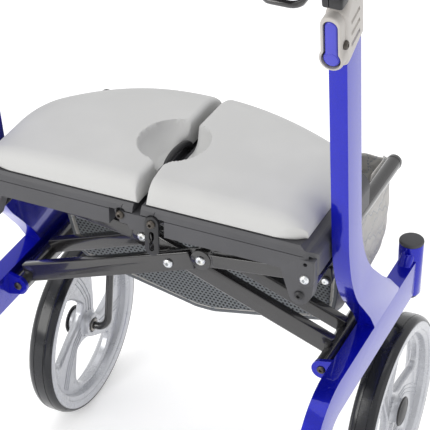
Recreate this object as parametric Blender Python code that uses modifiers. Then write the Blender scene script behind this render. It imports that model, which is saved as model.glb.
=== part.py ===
"""Four wheeled walking frame with a folding seat, in metres, Z up, +Y the way it is pushed.

Two blue side frames are joined by one pair of crossed arms. Each arm carries a link at its
upper end, each link carries a seat rail, and half of the seat turns about each rail. Lifting
the middle of the seat draws the side frames together.
Heights are above the floor. Places along Y are first given from the front axle, the way the
frame was measured, and spot() turns them into the model's own frame.
"""
import math

import bmesh
import bpy
from mathutils import Matrix, Vector

# Overall layout
WHEELBASE = 0.459
FRONT_WHEEL_RADIUS = 0.127
REAR_WHEEL_RADIUS = 0.1015
FRAME_X = 0.225
REAR_WHEEL_X = 0.256
GAP = 0.0003
RUNNING_GAP = 0.00035

# Steering head and caster
TRAIL = 0.042
HEAD_RADIUS = 0.0157
HEAD_BOTTOM_Z = 2 * FRONT_WHEEL_RADIUS + 0.034
HEAD_TOP_Z = HEAD_BOTTOM_Z + 0.073
HEAD_CAP_HEIGHT = 0.007
FRONT_TYRE_WIDTH = 0.035
FORK_ROD_RADIUS = 0.005
FORK_BEND_RADIUS = 0.018
FORK_LEG_X = FRAME_X - FRONT_TYRE_WIDTH / 2 - 0.0205
FORK_LEG_TOP_Z = 2 * FRONT_WHEEL_RADIUS - 0.018
FORK_COLLAR_RADIUS = 0.0125

# Lower tube of a side frame, which bends down to the rear hub
LOWER_TUBE_Z = HEAD_BOTTOM_Z + 0.0285
LOWER_TUBE_WIDTH = 0.022
LOWER_TUBE_DEPTH = 0.048
LEG_ANGLE = math.radians(46)
LEG_BEND_RADIUS = 0.062
TUBE_CORNER = 0.007
HOLLOW_CORNER_SHARE = 0.55

# Post, which leans back and sweeps forward into the lower tube
POST_WIDTH = 0.020
POST_DEPTH = 0.039
POST_LEAN = math.radians(7.7)
POST_FOOT_ANGLE = math.radians(45)
POST_SWEEP_RADIUS = 0.190
POST_SWEEP_Y = -0.202
POST_SWEEP_Z = 0.527
GRIP_Z = 0.930
POST_TOP_Z = GRIP_Z - 0.140
POST_FLARE = 0.010

# Wheels
REAR_TYRE_WIDTH = 0.030
TYRE_SECTION = 0.0177
RIM_BAND = 0.0065
WHEEL_STEPS = 26
HUB_RADIUS = 0.0145
HUB_CAP_RADIUS = 0.020
HUB_INSET = 0.0020
REAR_AXLE_RADIUS = 0.006

# Seat heights, from which the rails, links and bag follow
TRAY_TOP_Z = 0.5327
RAIL_Z = TRAY_TOP_Z - 0.0617

# Crossed arms and the lower pivots they turn on
PIVOT_X = 0.201
PIVOT_Z = LOWER_TUBE_Z + 0.0075
PIVOT_TUBE_RADIUS = 0.01125
PIVOT_BOLT_RADIUS = 0.004
EAR_NEAR_Y = -0.199
EAR_FAR_Y = -0.020
EAR_THICKNESS = 0.005
EAR_RADIUS = 0.0122
ARM_HEIGHT = 0.025
ARM_THICKNESS = 0.012
ARM_NEAR_Y = -0.186
ARM_PAIR_STEP = 0.017
ARM_FOOT_Z = PIVOT_Z + 0.010
KNEE_X = 0.042
KNEE_Z = RAIL_Z - 0.047
LINK_HEIGHT = 0.018
LINK_END_X = 0.200
LINK_END_Z = RAIL_Z - 0.027
CROSS_BOLT_RADIUS = 0.004
KNEE_BOLT_RADIUS = 0.0035
BUTTON_RADIUS = 0.0062
BUTTON_HEIGHT = 0.0036
NUT_HEIGHT = 0.0045
LAP_REACH = 0.0132
LAP_STEP = 0.0004
SPACER_RADIUS = 0.0115

# Seat rails
RAIL_X = 0.196
RAIL_RADIUS = 0.0095
RAIL_NEAR_Y = -0.243
RAIL_FAR_Y = 0.023
RAIL_SIDES = 14

# Seat trays, their bridge and the pins between them
SEAT_NEAR_Y = -0.264
SEAT_FAR_Y = -0.055
TRAY_CREASE_Z = TRAY_TOP_Z - 0.0097
SKIRT_BOTTOM_Z = TRAY_TOP_Z - 0.0317
TRAY_OUTER_X = 0.2126
TRAY_INNER_X = 0.005
TRAY_WALL = 0.003
TRAY_FLANGE_Z = SKIRT_BOTTOM_Z - 0.008
TRAY_EDGE_RADIUS = 0.012
SEAT_PIN_X = 0.020
SEAT_PIN_Z = TRAY_TOP_Z - 0.0157
SEAT_PIN_RADIUS = 0.003
TRAY_BOLT_RADIUS = 0.004
TRAY_BOLT_BITE = 0.012
LINK_PLATE_THICKNESS = 0.003
SKIRT_END_X = 0.034
KNUCKLE_RADIUS = 0.0078
KNUCKLE_LENGTH = 0.008
OPEN_PIVOT_SLACK = 0.0048
BRIDGE_HALF_WIDTH = 0.0058
TRAY_EAR_RADIUS = 0.0125
BRIDGE_EAR_RADIUS = 0.0046
LINK_NOTCH_Z = RAIL_Z + 0.037
LINK_NOTCH_X = TRAY_OUTER_X - 0.008

# Pull handle in the hand recess
BRIDGE_TOP_Z = TRAY_CREASE_Z - 0.0009
PULL_NEAR_Y = -0.180
PULL_FAR_Y = -0.140
PULL_HEIGHT = 0.025
PULL_SOCKET = 0.003
PULL_ROD_RADIUS = 0.0032

# Pads
PAD_OUTER_X = 0.198
PAD_INNER_X = 0.004
PAD_NEAR_Y = -0.259
PAD_FAR_Y = -0.068
PAD_FAR_BULGE = 0.038
PAD_SIDE_HEIGHT = 0.026
PAD_CROWN = 0.010
BOWL_CENTRE_Y = -0.155
BOWL_HALF_X = 0.043
BOWL_HALF_Y = 0.036
BOWL_DEPTH = 0.028

# Bag that hangs between the rails
BAG_NEAR_TOP_Y = -0.125
BAG_NEAR_BOTTOM_Y = -0.084
BAG_FRONT_Y = 0.058
BAG_TOP_Z = RAIL_Z + 0.003
BAG_SIDE_BOTTOM_Z = BAG_TOP_Z - 0.158
BAG_KEEL_Z = BAG_TOP_Z - 0.199
BAG_TOP_X = RAIL_X - 0.010
BAG_BOTTOM_X = BAG_TOP_X - 0.016
BAG_WALL = 0.0025
BAG_HEM_Z = RAIL_Z - 0.014
BAG_RINGS = ((0.0, 1.0, BAG_HEM_Z), (0.30, 1.0, BAG_HEM_Z), (0.62, 1.012, BAG_HEM_Z),
             (0.88, 1.0, BAG_TOP_Z), (1.0, 0.93, BAG_TOP_Z))
BAG_SECTION = ((0.0, 0.0), (0.001, 0.024), (0.003, 0.064), (0.010, 0.129))

# Clamp casing and lever near the top of the post
CASING_WIDTH = 0.030
CASING_REAR = 0.0325
CASING_FRONT = 0.0225
CASING_TOP_Z = GRIP_Z - 0.080
CASING_BOTTOM_Z = CASING_TOP_Z - 0.105
LEVER_WIDTH = 0.017
LEVER_HINGE_Z = CASING_TOP_Z - 0.038
LEVER_KNOB_Z = LEVER_HINGE_Z - 0.041
LEVER_KNOB_RADIUS = 0.0105
LEVER_THICKNESS = 0.006
LEVER_FLOOR = CASING_REAR - 0.0095
LEVER_AXIS = CASING_REAR - 0.0050
LEVER_PIN_RADIUS = 0.0018
LEVER_PIN_REACH = 0.0020

# Handle, grip and brake
HANDLE_WIDTH = 0.0146
HANDLE_DEPTH = 0.0330
HANDLE_FOOT_Z = GRIP_Z - 0.290
HANDLE_BEND_RADIUS = 0.042
HANDLE_CORNER = 0.0038
GRIP_START = 0.022
GRIP_LENGTH = 0.128
GRIP_RADIUS = 0.0165
GRIP_CORE_DEPTH = 0.020
BRAKE_LOOP_LENGTH = 0.135
BRAKE_LOOP_DROP = 0.046
BRAKE_ROD_RADIUS = 0.0035
BRAKE_LOOP_HALF = 0.0175
BRAKE_HOUSING_WIDTH = 0.0205
SHOE_PIVOT_REACH = 0.122
SHOE_PIN_RADIUS = 0.004

FRONT_AXLE_Y = (WHEELBASE + REAR_WHEEL_RADIUS - FRONT_WHEEL_RADIUS) / 2

BLUE = ((0.004, 0.010, 0.42), 0.35, 0.14)
GLOSS_BLACK = ((0.012, 0.012, 0.016), 0.1, 0.22)
CHARCOAL = ((0.075, 0.075, 0.082), 0.0, 0.55)
BLACK_PLASTIC = ((0.02, 0.02, 0.022), 0.0, 0.5)
RUBBER = ((0.012, 0.012, 0.013), 0.0, 0.6)
SILVER = ((0.42, 0.43, 0.45), 0.6, 0.35)
ZINC = ((0.6, 0.6, 0.58), 0.9, 0.3)
FOAM = ((0.53, 0.55, 0.58), 0.0, 0.7)
CLOTH = ((0.42, 0.41, 0.38), 0.0, 0.9)
CASING_GREY = ((0.55, 0.52, 0.49), 0.0, 0.45)
LEVER_BLUE = ((0.10, 0.10, 0.62), 0.1, 0.35)

TURN_Z_TO = {
    "X": Matrix.Rotation(math.pi / 2, 4, "Y"),
    "Y": Matrix.Rotation(-math.pi / 2, 4, "X"),
    "Z": Matrix.Identity(4),
}
SLAB_PLANES = {
    "YZ": Matrix(((0, 0, 1, 0), (1, 0, 0, 0), (0, 1, 0, 0), (0, 0, 0, 1))),
    "XZ": Matrix(((1, 0, 0, 0), (0, 0, -1, 0), (0, 1, 0, 0), (0, 0, 0, 1))),
    "XY": Matrix.Identity(4),
}
FLAT_ANGLE = math.radians(0.2)
PARTS = []


def clear_scene():
    """Remove every object that the file holds."""
    for old in list(bpy.data.objects):
        bpy.data.objects.remove(old, do_unlink=True)


def spot(x, y, z):
    """Place a point whose Y is measured from the front axle."""
    return Vector((x, FRONT_AXLE_Y + y, z))


def arc(centre, radius, start, end, count):
    """Return points on an arc, angles in radians."""
    steps = [start + (end - start) * i / (count - 1) for i in range(count)]
    return [Vector((centre[0] + radius * math.cos(a), centre[1] + radius * math.sin(a))) for a in steps]


def show(solid):
    """Link an object into the open scene so that it can be evaluated."""
    if solid.name not in bpy.context.scene.collection.objects:
        bpy.context.scene.collection.objects.link(solid)
    return solid


def from_bmesh(mesh_data, name="solid"):
    """Turn a bmesh into a linked object."""
    mesh = bpy.data.meshes.new(name)
    mesh_data.to_mesh(mesh)
    mesh_data.free()
    return show(bpy.data.objects.new(name, mesh))


def baked(solid):
    """Return a plain mesh copy of a curve or of an object with modifiers, welded and facing out."""
    bpy.context.view_layer.update()
    graph = bpy.context.evaluated_depsgraph_get()
    mesh = bpy.data.meshes.new_from_object(solid.evaluated_get(graph))
    mesh_data = bmesh.new()
    mesh_data.from_mesh(mesh)
    bmesh.ops.transform(mesh_data, matrix=solid.matrix_world, verts=mesh_data.verts)
    bmesh.ops.remove_doubles(mesh_data, verts=mesh_data.verts, dist=0.000002)
    bmesh.ops.recalc_face_normals(mesh_data, faces=mesh_data.faces)
    bpy.data.objects.remove(solid, do_unlink=True)
    bpy.data.meshes.remove(mesh)
    return from_bmesh(mesh_data)


def flat_faced(solid):
    """Merge the triangles that fill a flat face into one face."""
    mesh_data = bmesh.new()
    mesh_data.from_mesh(solid.data)
    bmesh.ops.dissolve_limit(mesh_data, angle_limit=FLAT_ANGLE, verts=mesh_data.verts, edges=mesh_data.edges)
    mesh_data.to_mesh(solid.data)
    mesh_data.free()
    return solid


def rounded(solid, width, segments=2, angle=35):
    """Round the edges that turn by more than an angle in degrees."""
    edge = solid.modifiers.new("Round", "BEVEL")
    edge.width = width
    edge.segments = segments
    edge.limit_method = "ANGLE"
    edge.angle_limit = math.radians(angle)
    edge.use_clamp_overlap = True
    return baked(solid)


def hollow(solid, corner):
    """Chamfer a hollow's edges by less than the rounding of the bar that goes in it."""
    return rounded(solid, corner * HOLLOW_CORNER_SHARE, 1)


def combined(base, tools, operation):
    """Apply one boolean after another and drop the tools."""
    for tool in tools:
        step = base.modifiers.new(operation.title(), "BOOLEAN")
        step.operation = operation
        step.solver = "EXACT"
        step.object = tool
        result = baked(base)
        bpy.data.objects.remove(tool, do_unlink=True)
        base = result
    return base


def joined(base, *tools):
    return combined(base, tools, "UNION")


def cut(base, *tools):
    return combined(base, tools, "DIFFERENCE")


def cylinder(radius, start, end, sides=20, top_radius=None):
    """Make a cylinder or cone between two points."""
    start, end = Vector(start), Vector(end)
    axis = end - start
    mesh_data = bmesh.new()
    bmesh.ops.create_cone(
        mesh_data, cap_ends=True, segments=sides, radius1=radius,
        radius2=radius if top_radius is None else top_radius, depth=axis.length)
    turn = Vector((0, 0, 1)).rotation_difference(axis.normalized()).to_matrix().to_4x4()
    place = Matrix.Translation((start + end) / 2) @ turn
    bmesh.ops.transform(mesh_data, matrix=place, verts=mesh_data.verts)
    return from_bmesh(mesh_data)


def box(low, high):
    """Make a box from its two opposite corners."""
    low, high = Vector(low), Vector(high)
    mesh_data = bmesh.new()
    bmesh.ops.create_cube(mesh_data, size=1)
    size = high - low
    bmesh.ops.scale(mesh_data, vec=size, verts=mesh_data.verts)
    bmesh.ops.translate(mesh_data, vec=(low + high) / 2, verts=mesh_data.verts)
    return from_bmesh(mesh_data)


def slab(points, thickness, plane, centre):
    """Extrude a flat outline; the centre is its place along the axis square to the plane."""
    curve = bpy.data.curves.new("outline", "CURVE")
    curve.dimensions = "2D"
    curve.fill_mode = "BOTH"
    curve.extrude = thickness / 2
    line = curve.splines.new("POLY")
    line.points.add(len(points) - 1)
    for knot, point in zip(line.points, points):
        knot.co = (point[0], point[1], 0, 1)
    line.use_cyclic_u = True
    outline = show(bpy.data.objects.new("outline", curve))
    depth = centre * (-1 if plane == "XZ" else 1)
    outline.matrix_world = SLAB_PLANES[plane] @ Matrix.Translation((0, 0, depth))
    return flat_faced(baked(outline))


def turned(profile, axis, centre, steps=WHEEL_STEPS, closed=True):
    """Turn a profile of (radius, height) points about an axis through a point."""
    mesh = bpy.data.meshes.new("profile")
    count = len(profile)
    edges = [(i, (i + 1) % count) for i in range(count if closed else count - 1)]
    mesh.from_pydata([(r, 0, h) for r, h in profile], edges, [])
    solid = show(bpy.data.objects.new("profile", mesh))
    screw = solid.modifiers.new("Turn", "SCREW")
    screw.steps = screw.render_steps = steps
    screw.use_merge_vertices = True
    screw.merge_threshold = 0.00001
    solid.matrix_world = Matrix.Translation(centre) @ TURN_Z_TO[axis]
    return baked(solid)


def rod(points, radius, detail=2, closed=False):
    """Make a round bar along a line of points."""
    curve = bpy.data.curves.new("rod", "CURVE")
    curve.dimensions = "3D"
    curve.bevel_depth = radius
    curve.bevel_resolution = detail
    curve.use_fill_caps = not closed
    line = curve.splines.new("POLY")
    line.points.add(len(points) - 1)
    for knot, point in zip(line.points, points):
        knot.co = (*point, 1)
    line.use_cyclic_u = closed
    return baked(show(bpy.data.objects.new("rod", curve)))


def bent(points, radius, count=5):
    """Round the corners of a line of 3-D points with arcs."""
    points = [Vector(p) for p in points]
    line = [points[0]]
    for before, corner, after in zip(points, points[1:], points[2:]):
        into = (before - corner).normalized()
        out = (after - corner).normalized()
        half = into.angle(out) / 2
        reach = radius / math.tan(half)
        middle = corner + (into + out).normalized() * (radius / math.sin(half))
        first = corner + into * reach - middle
        last = corner + out * reach - middle
        for i in range(count):
            share = i / (count - 1)
            line.append(middle + first.slerp(last, share).normalized() * radius)
    return line + [points[-1]]


def band(line, half_left, half_right):
    """Give a flat line two edges, each at its own distance, as one closed outline."""
    left, right = [], []
    for i, point in enumerate(line):
        before = line[max(i - 1, 0)]
        after = line[min(i + 1, len(line) - 1)]
        along = (after - before).normalized()
        side = Vector((-along.y, along.x))
        left.append(point + side * half_left[i])
        right.append(point - side * half_right[i])
    return left + right[::-1]


def bar(start, end, half, round_start=False, round_end=True, count=7):
    """Outline of a straight bar with square or round ends."""
    start, end = Vector(start), Vector(end)
    along = (end - start).normalized()
    angle = math.atan2(along.y, along.x)
    side = Vector((-along.y, along.x)) * half
    points = []
    if round_end:
        points += arc(end, half, angle - math.pi / 2, angle + math.pi / 2, count)
    else:
        points += [end - side, end + side]
    if round_start:
        points += arc(start, half, angle + math.pi / 2, angle + 1.5 * math.pi, count)
    else:
        points += [start + side, start - side]
    return points


def finish(solid, name, look, pivot=(0, 0, 0)):
    """Name a piece, give it its own material and put its origin on its joint."""
    colour, metallic, roughness = look
    material = bpy.data.materials.new(name)
    material.use_nodes = True
    shader = material.node_tree.nodes["Principled BSDF"]
    shader.inputs["Base Color"].default_value = (*colour, 1)
    shader.inputs["Metallic"].default_value = metallic
    shader.inputs["Roughness"].default_value = roughness
    solid.name = solid.data.name = name
    solid.data.materials.clear()
    solid.data.materials.append(material)
    solid.data.transform(Matrix.Translation(-Vector(pivot)))
    solid.location = pivot
    solid.data.shade_smooth()
    solid.data.set_sharp_from_angle(angle=math.radians(35))
    PARTS.append(solid)
    return solid


def hinge_group(name, pivot, pieces):
    """Parent the pieces of one moving body to an empty on its joint."""
    empty = show(bpy.data.objects.new(name, None))
    empty.empty_display_size = 0.03
    empty.location = pivot
    for piece in pieces:
        piece.parent = empty
        piece.location = piece.location - empty.location
    PARTS.append(empty)
    return empty


def side_name(side):
    return "right" if side > 0 else "left"


def rear_axle():
    return Vector((FRONT_AXLE_Y - WHEELBASE, REAR_WHEEL_RADIUS))


def post_point(height, rearward=0.0):
    """Return (y, z) on the leaning post's centre line, moved squarely rearward."""
    rise = height - POST_SWEEP_Z
    y = FRONT_AXLE_Y + POST_SWEEP_Y - rise * math.tan(POST_LEAN)
    return Vector((y - rearward * math.cos(POST_LEAN), height - rearward * math.sin(POST_LEAN)))


def lower_tube_line():
    """Centre line of the lower tube: along Y, then a bend, then down to the rear hub."""
    axle = rear_axle()
    down = Vector((-math.cos(LEG_ANGLE), -math.sin(LEG_ANGLE)))
    corner_y = axle.x + (LOWER_TUBE_Z - axle.y) / math.tan(LEG_ANGLE)
    reach = LEG_BEND_RADIUS * math.tan(LEG_ANGLE / 2)
    centre = (corner_y + reach, LOWER_TUBE_Z - LEG_BEND_RADIUS)
    bend = arc(centre, LEG_BEND_RADIUS, math.pi / 2, math.pi / 2 + LEG_ANGLE, 5)
    start = Vector((FRONT_AXLE_Y + TRAIL - HEAD_RADIUS * 0.4, LOWER_TUBE_Z))
    return [start] + bend + [axle + down * 0.002]


def lower_tube(x):
    line = lower_tube_line()
    half = [LOWER_TUBE_DEPTH / 2] * len(line)
    tube = rounded(slab(band(line, half, half), LOWER_TUBE_WIDTH, "YZ", x), TUBE_CORNER)
    axle = rear_axle()
    foot_radius = LOWER_TUBE_DEPTH / 2 - 0.0005
    reach = LOWER_TUBE_WIDTH / 2 - 0.0004
    return joined(tube, cylinder(foot_radius, (x - reach, *axle), (x + reach, *axle), 16))


def post_line():
    """Centre line of the post from its top down to its foot inside the lower tube."""
    top = post_point(POST_TOP_Z)
    start = post_point(POST_SWEEP_Z)
    centre = start + Vector((math.cos(POST_LEAN), math.sin(POST_LEAN))) * POST_SWEEP_RADIUS
    sweep = arc(centre, POST_SWEEP_RADIUS, math.pi + POST_LEAN, math.pi + POST_FOOT_ANGLE, 6)
    end = sweep[-1]
    drop = end.y - (LOWER_TUBE_Z + 0.006)
    foot = end + Vector((drop, -drop))
    return [top] + sweep + [end.lerp(foot, 0.35), end.lerp(foot, 0.62), foot]


def post(x):
    line = post_line()
    half = POST_DEPTH / 2
    flare = [0.0] * 2 + [POST_FLARE * 0.45 * (i / 5) for i in range(1, 6)]
    flare += [POST_FLARE * 0.8, POST_FLARE * 1.5, POST_FLARE * 1.5]
    front = [half + extra * 0.6 for extra in flare]
    rear = [half + extra for extra in flare]
    return rounded(slab(band(line, front, rear), POST_WIDTH, "YZ", x), TUBE_CORNER)


def post_bore(x):
    """Straight hollow at the post's top, in which the handle tube slides."""
    half = HANDLE_DEPTH / 2 + RUNNING_GAP
    line = [post_point(POST_TOP_Z + 0.02), post_point(HANDLE_FOOT_Z - 0.060)]
    outline = band(line, [half] * 2, [half] * 2)
    return hollow(slab(outline, HANDLE_WIDTH + 2 * RUNNING_GAP, "YZ", x), HANDLE_CORNER)


def ear(side, y):
    """Lug on the lower tube's inner face, round the lower pivot."""
    tube_face = FRAME_X - LOWER_TUBE_WIDTH / 2 + 0.003
    outline = [Vector((tube_face, PIVOT_Z + EAR_RADIUS + 0.004)), Vector((PIVOT_X, PIVOT_Z + EAR_RADIUS))]
    outline += arc((PIVOT_X, PIVOT_Z), EAR_RADIUS, math.pi / 2 + 0.3, 1.5 * math.pi - 0.3, 4)
    outline += [Vector((PIVOT_X, PIVOT_Z - EAR_RADIUS)), Vector((tube_face, PIVOT_Z - EAR_RADIUS - 0.004))]
    outline = [Vector((side * p.x, p.y)) for p in outline]
    return slab(outline, EAR_THICKNESS, "XZ", FRONT_AXLE_Y + y + EAR_THICKNESS / 2)


def side_frame(side):
    x = side * FRAME_X
    head = cylinder(HEAD_RADIUS, spot(x, TRAIL, HEAD_BOTTOM_Z), spot(x, TRAIL, HEAD_TOP_Z), 18)
    frame = joined(lower_tube(x), post(x), head, ear(side, EAR_NEAR_Y), ear(side, EAR_FAR_Y))
    axle = rear_axle()
    stub_end = side * (REAR_WHEEL_X + REAR_TYRE_WIDTH / 2 - HUB_INSET - 0.0005)
    stub = cylinder(REAR_AXLE_RADIUS, (side * FRAME_X, *axle), (stub_end, *axle), 12)
    pin = shoe_pivot()
    pin_stub = cylinder(SHOE_PIN_RADIUS, (side * FRAME_X, *pin), (side * (REAR_WHEEL_X + 0.006), *pin), 12)
    frame = joined(frame, stub, pin_stub)
    stem = cylinder(FORK_ROD_RADIUS + RUNNING_GAP, spot(x, TRAIL, HEAD_BOTTOM_Z - 0.01),
                    spot(x, TRAIL, HEAD_TOP_Z + 0.01), 12)
    bolt_hole = cylinder(PIVOT_BOLT_RADIUS + GAP, spot(side * PIVOT_X, EAR_NEAR_Y - 0.01, PIVOT_Z),
                         spot(side * PIVOT_X, EAR_FAR_Y + 0.02, PIVOT_Z), 12)
    frame = cut(frame, stem, bolt_hole, post_bore(x))
    pivot = spot(side * PIVOT_X, EAR_NEAR_Y, PIVOT_Z)
    return finish(frame, f"side_frame_{side_name(side)}", BLUE, pivot)


def head_cap(side):
    low = HEAD_TOP_Z + GAP
    profile = [(0.0, low), (HEAD_RADIUS + 0.0004, low), (HEAD_RADIUS + 0.0004, low + HEAD_CAP_HEIGHT * 0.45),
               (HEAD_RADIUS * 0.86, low + HEAD_CAP_HEIGHT * 0.85), (HEAD_RADIUS * 0.5, low + HEAD_CAP_HEIGHT),
               (0.0, low + HEAD_CAP_HEIGHT)]
    cap = turned(profile, "Z", spot(side * FRAME_X, TRAIL, 0), 16, closed=False)
    return finish(cap, f"head_cap_{side_name(side)}", BLACK_PLASTIC)


def caster_fork(side):
    """One bent rod: stem, crown, leg inside the wheel, and axle through the hub."""
    hub_end = FRAME_X + FRONT_TYRE_WIDTH / 2 - HUB_INSET - 0.0005
    corners = [spot(side * FRAME_X, TRAIL, HEAD_TOP_Z - 0.0015),
               spot(side * FRAME_X, TRAIL, HEAD_BOTTOM_Z - 0.008),
               spot(side * FORK_LEG_X, 0.0, FORK_LEG_TOP_Z),
               spot(side * FORK_LEG_X, 0.0, FRONT_WHEEL_RADIUS),
               spot(side * hub_end, 0.0, FRONT_WHEEL_RADIUS)]
    fork = rod(bent(corners, FORK_BEND_RADIUS, 4), FORK_ROD_RADIUS, 2)
    stem_top = HEAD_BOTTOM_Z - GAP
    collar = cylinder(FORK_COLLAR_RADIUS, spot(side * FRAME_X, TRAIL, stem_top - 0.005),
                      spot(side * FRAME_X, TRAIL, stem_top), 14)
    fork = joined(fork, collar)
    pivot = spot(side * FRAME_X, TRAIL, HEAD_BOTTOM_Z)
    return finish(fork, f"caster_fork_{side_name(side)}", GLOSS_BLACK, pivot)


def tyre(name, centre, radius, width, pivot):
    """Tyre with a flat tread, round shoulders and a straight seat on the rim."""
    half = width / 2
    inner = radius - TYRE_SECTION
    profile = [(inner, half * 0.86), (radius - 0.011, half), (radius - 0.004, half * 0.84),
               (radius, half * 0.42), (radius, -half * 0.42), (radius - 0.004, -half * 0.84),
               (radius - 0.011, -half), (inner, -half * 0.86)]
    return finish(turned(profile, "X", centre), name, RUBBER, pivot)


def window(near, far, half_width, power, count=3):
    """Outline of a hole that widens from the hub side towards the rim."""
    radii = [near + (far - near) * (i / count) ** 2 for i in range(1, count + 1)]
    half_angles = [half_width * ((r - near) / (far - near)) ** power for r in radii]
    edge = [Vector((r * math.cos(a), r * math.sin(a))) for r, a in zip(radii, half_angles)]
    top = arc((0, 0), far, half_angles[-1], -half_angles[-1], 4)[1:-1]
    mirror = [Vector((p.x, -p.y)) for p in edge[::-1]]
    return [Vector((near, 0))] + edge + top + mirror


def rim(name, centre, radius, width, bore, pivot):
    """Rim band, web with forked spokes and drop-shaped windows, and a bored hub."""
    outer = radius - TYRE_SECTION - GAP
    half = width * 0.43
    inner = outer - RIM_BAND
    shoulder = inner + 0.0015
    ring = [(outer, half), (shoulder, half), (inner - 0.001, 0.0), (shoulder, -half), (outer, -half)]
    solid = turned(ring, "X", centre)
    web_half = 0.0048
    web = cylinder(outer - 0.003, (centre[0] - web_half, centre[1], centre[2]),
                   (centre[0] + web_half, centre[1], centre[2]), WHEEL_STEPS)
    clear = inner - 0.0045
    holes = []
    for spoke in range(3):
        for turn, near, spread, power in ((0, 0.27, 0.27, 1.1), (math.pi / 3, 0.31, 0.66, 0.55)):
            points = window(near * outer, clear, spread, power)
            around = math.pi / 2 + spoke * 2 * math.pi / 3 + turn
            spin = Matrix.Rotation(around, 2)
            moved = [spin @ p + Vector((centre[1], centre[2])) for p in points]
            holes.append(slab(moved, 0.03, "YZ", centre[0]))
    web = cut(web, *holes)
    hub_half = width / 2 - HUB_INSET
    hub = turned([(0.0, hub_half), (HUB_RADIUS * 0.82, hub_half), (HUB_RADIUS, hub_half * 0.4),
                  (HUB_RADIUS * 1.5, 0.004), (HUB_RADIUS * 1.5, -0.004), (HUB_RADIUS, -hub_half * 0.4),
                  (HUB_RADIUS * 0.82, -hub_half), (0.0, -hub_half)], "X", centre, 12, closed=False)
    solid = joined(solid, web, hub)
    reach = Vector((0.04, 0, 0))
    axle_hole = cylinder(bore, Vector(centre) - reach, Vector(centre) + reach, 12)
    return finish(cut(solid, axle_hole), name, SILVER, pivot)


def hub_cap(name, side, x, centre, pivot):
    """Domed cap on the outer end of a hub; x is the hub's outer face."""
    height = 0.0045
    start = x + GAP
    profile = [(0.0, start), (HUB_CAP_RADIUS, start), (HUB_CAP_RADIUS, start + height * 0.35),
               (HUB_CAP_RADIUS * 0.8, start + height * 0.8), (HUB_CAP_RADIUS * 0.4, start + height),
               (0.0, start + height)]
    profile = [(r, side * h) for r, h in profile]
    cap = turned(profile, "X", (0, centre[1], centre[2]), 14, closed=False)
    return finish(cap, name, BLACK_PLASTIC, pivot)


def front_wheel(side):
    name = side_name(side)
    axle = spot(side * FRAME_X, 0.0, FRONT_WHEEL_RADIUS)
    bore = FORK_ROD_RADIUS + RUNNING_GAP
    cap_x = FRAME_X + FRONT_TYRE_WIDTH / 2 - HUB_INSET
    return [tyre(f"front_tyre_{name}", axle, FRONT_WHEEL_RADIUS, FRONT_TYRE_WIDTH, axle),
            rim(f"front_rim_{name}", axle, FRONT_WHEEL_RADIUS, FRONT_TYRE_WIDTH, bore, axle),
            hub_cap(f"front_hub_cap_{name}", side, cap_x, axle, axle)]


def rear_wheel(side):
    name = side_name(side)
    axle = Vector((side * REAR_WHEEL_X, *rear_axle()))
    bore = REAR_AXLE_RADIUS + RUNNING_GAP
    cap_x = REAR_WHEEL_X + REAR_TYRE_WIDTH / 2 - HUB_INSET
    return [tyre(f"rear_tyre_{name}", axle, REAR_WHEEL_RADIUS, REAR_TYRE_WIDTH, axle),
            rim(f"rear_rim_{name}", axle, REAR_WHEEL_RADIUS, REAR_TYRE_WIDTH, bore, axle),
            hub_cap(f"rear_hub_cap_{name}", side, cap_x, axle, axle)]


def shoe_pivot():
    """(y, z) of the brake shoe's pin on the rear leg."""
    up = Vector((math.cos(LEG_ANGLE), math.sin(LEG_ANGLE)))
    return rear_axle() + up * SHOE_PIVOT_REACH


def brake_shoe(side):
    """Curved block that a pull on the brake presses on the rear tyre."""
    pin = shoe_pivot()
    axle = rear_axle()
    facing = math.atan2(pin.y - axle.y, pin.x - axle.x)
    inside = REAR_WHEEL_RADIUS + 0.0035
    outline = arc(axle, inside, facing + 0.05, facing + 0.42, 6)
    outline += arc(axle, inside + 0.012, facing + 0.42, facing + 0.20, 4)
    outline += arc(pin, 0.010, facing + 1.2, facing - 1.9, 8)
    outer_x = REAR_WHEEL_X + 0.012
    inner_x = FRAME_X + LOWER_TUBE_WIDTH / 2 + GAP
    middle = side * (outer_x + inner_x) / 2
    shoe = slab(outline, outer_x - inner_x, "YZ", middle)
    hole_end = side * (REAR_WHEEL_X + 0.0065)
    hole = cylinder(SHOE_PIN_RADIUS + RUNNING_GAP, (side * 0.2, *pin), (hole_end, *pin), 12)
    pivot = Vector((side * REAR_WHEEL_X, *pin))
    return finish(cut(shoe, hole), f"brake_shoe_{side_name(side)}", BLACK_PLASTIC, pivot)


def arm_line(x):
    """Height of the first arm's centre line at a place across the frame."""
    slope = (KNEE_Z - ARM_FOOT_Z) / (KNEE_X + PIVOT_X)
    return ARM_FOOT_Z + slope * (x + PIVOT_X)


def arm_bore(x, z, radius):
    """Hole along Y right through both arms, with running clearance."""
    far = ARM_NEAR_Y + ARM_PAIR_STEP + ARM_THICKNESS + 0.015
    return cylinder(radius + RUNNING_GAP, spot(x, ARM_NEAR_Y - 0.015, z), spot(x, far, z), 12)


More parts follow.
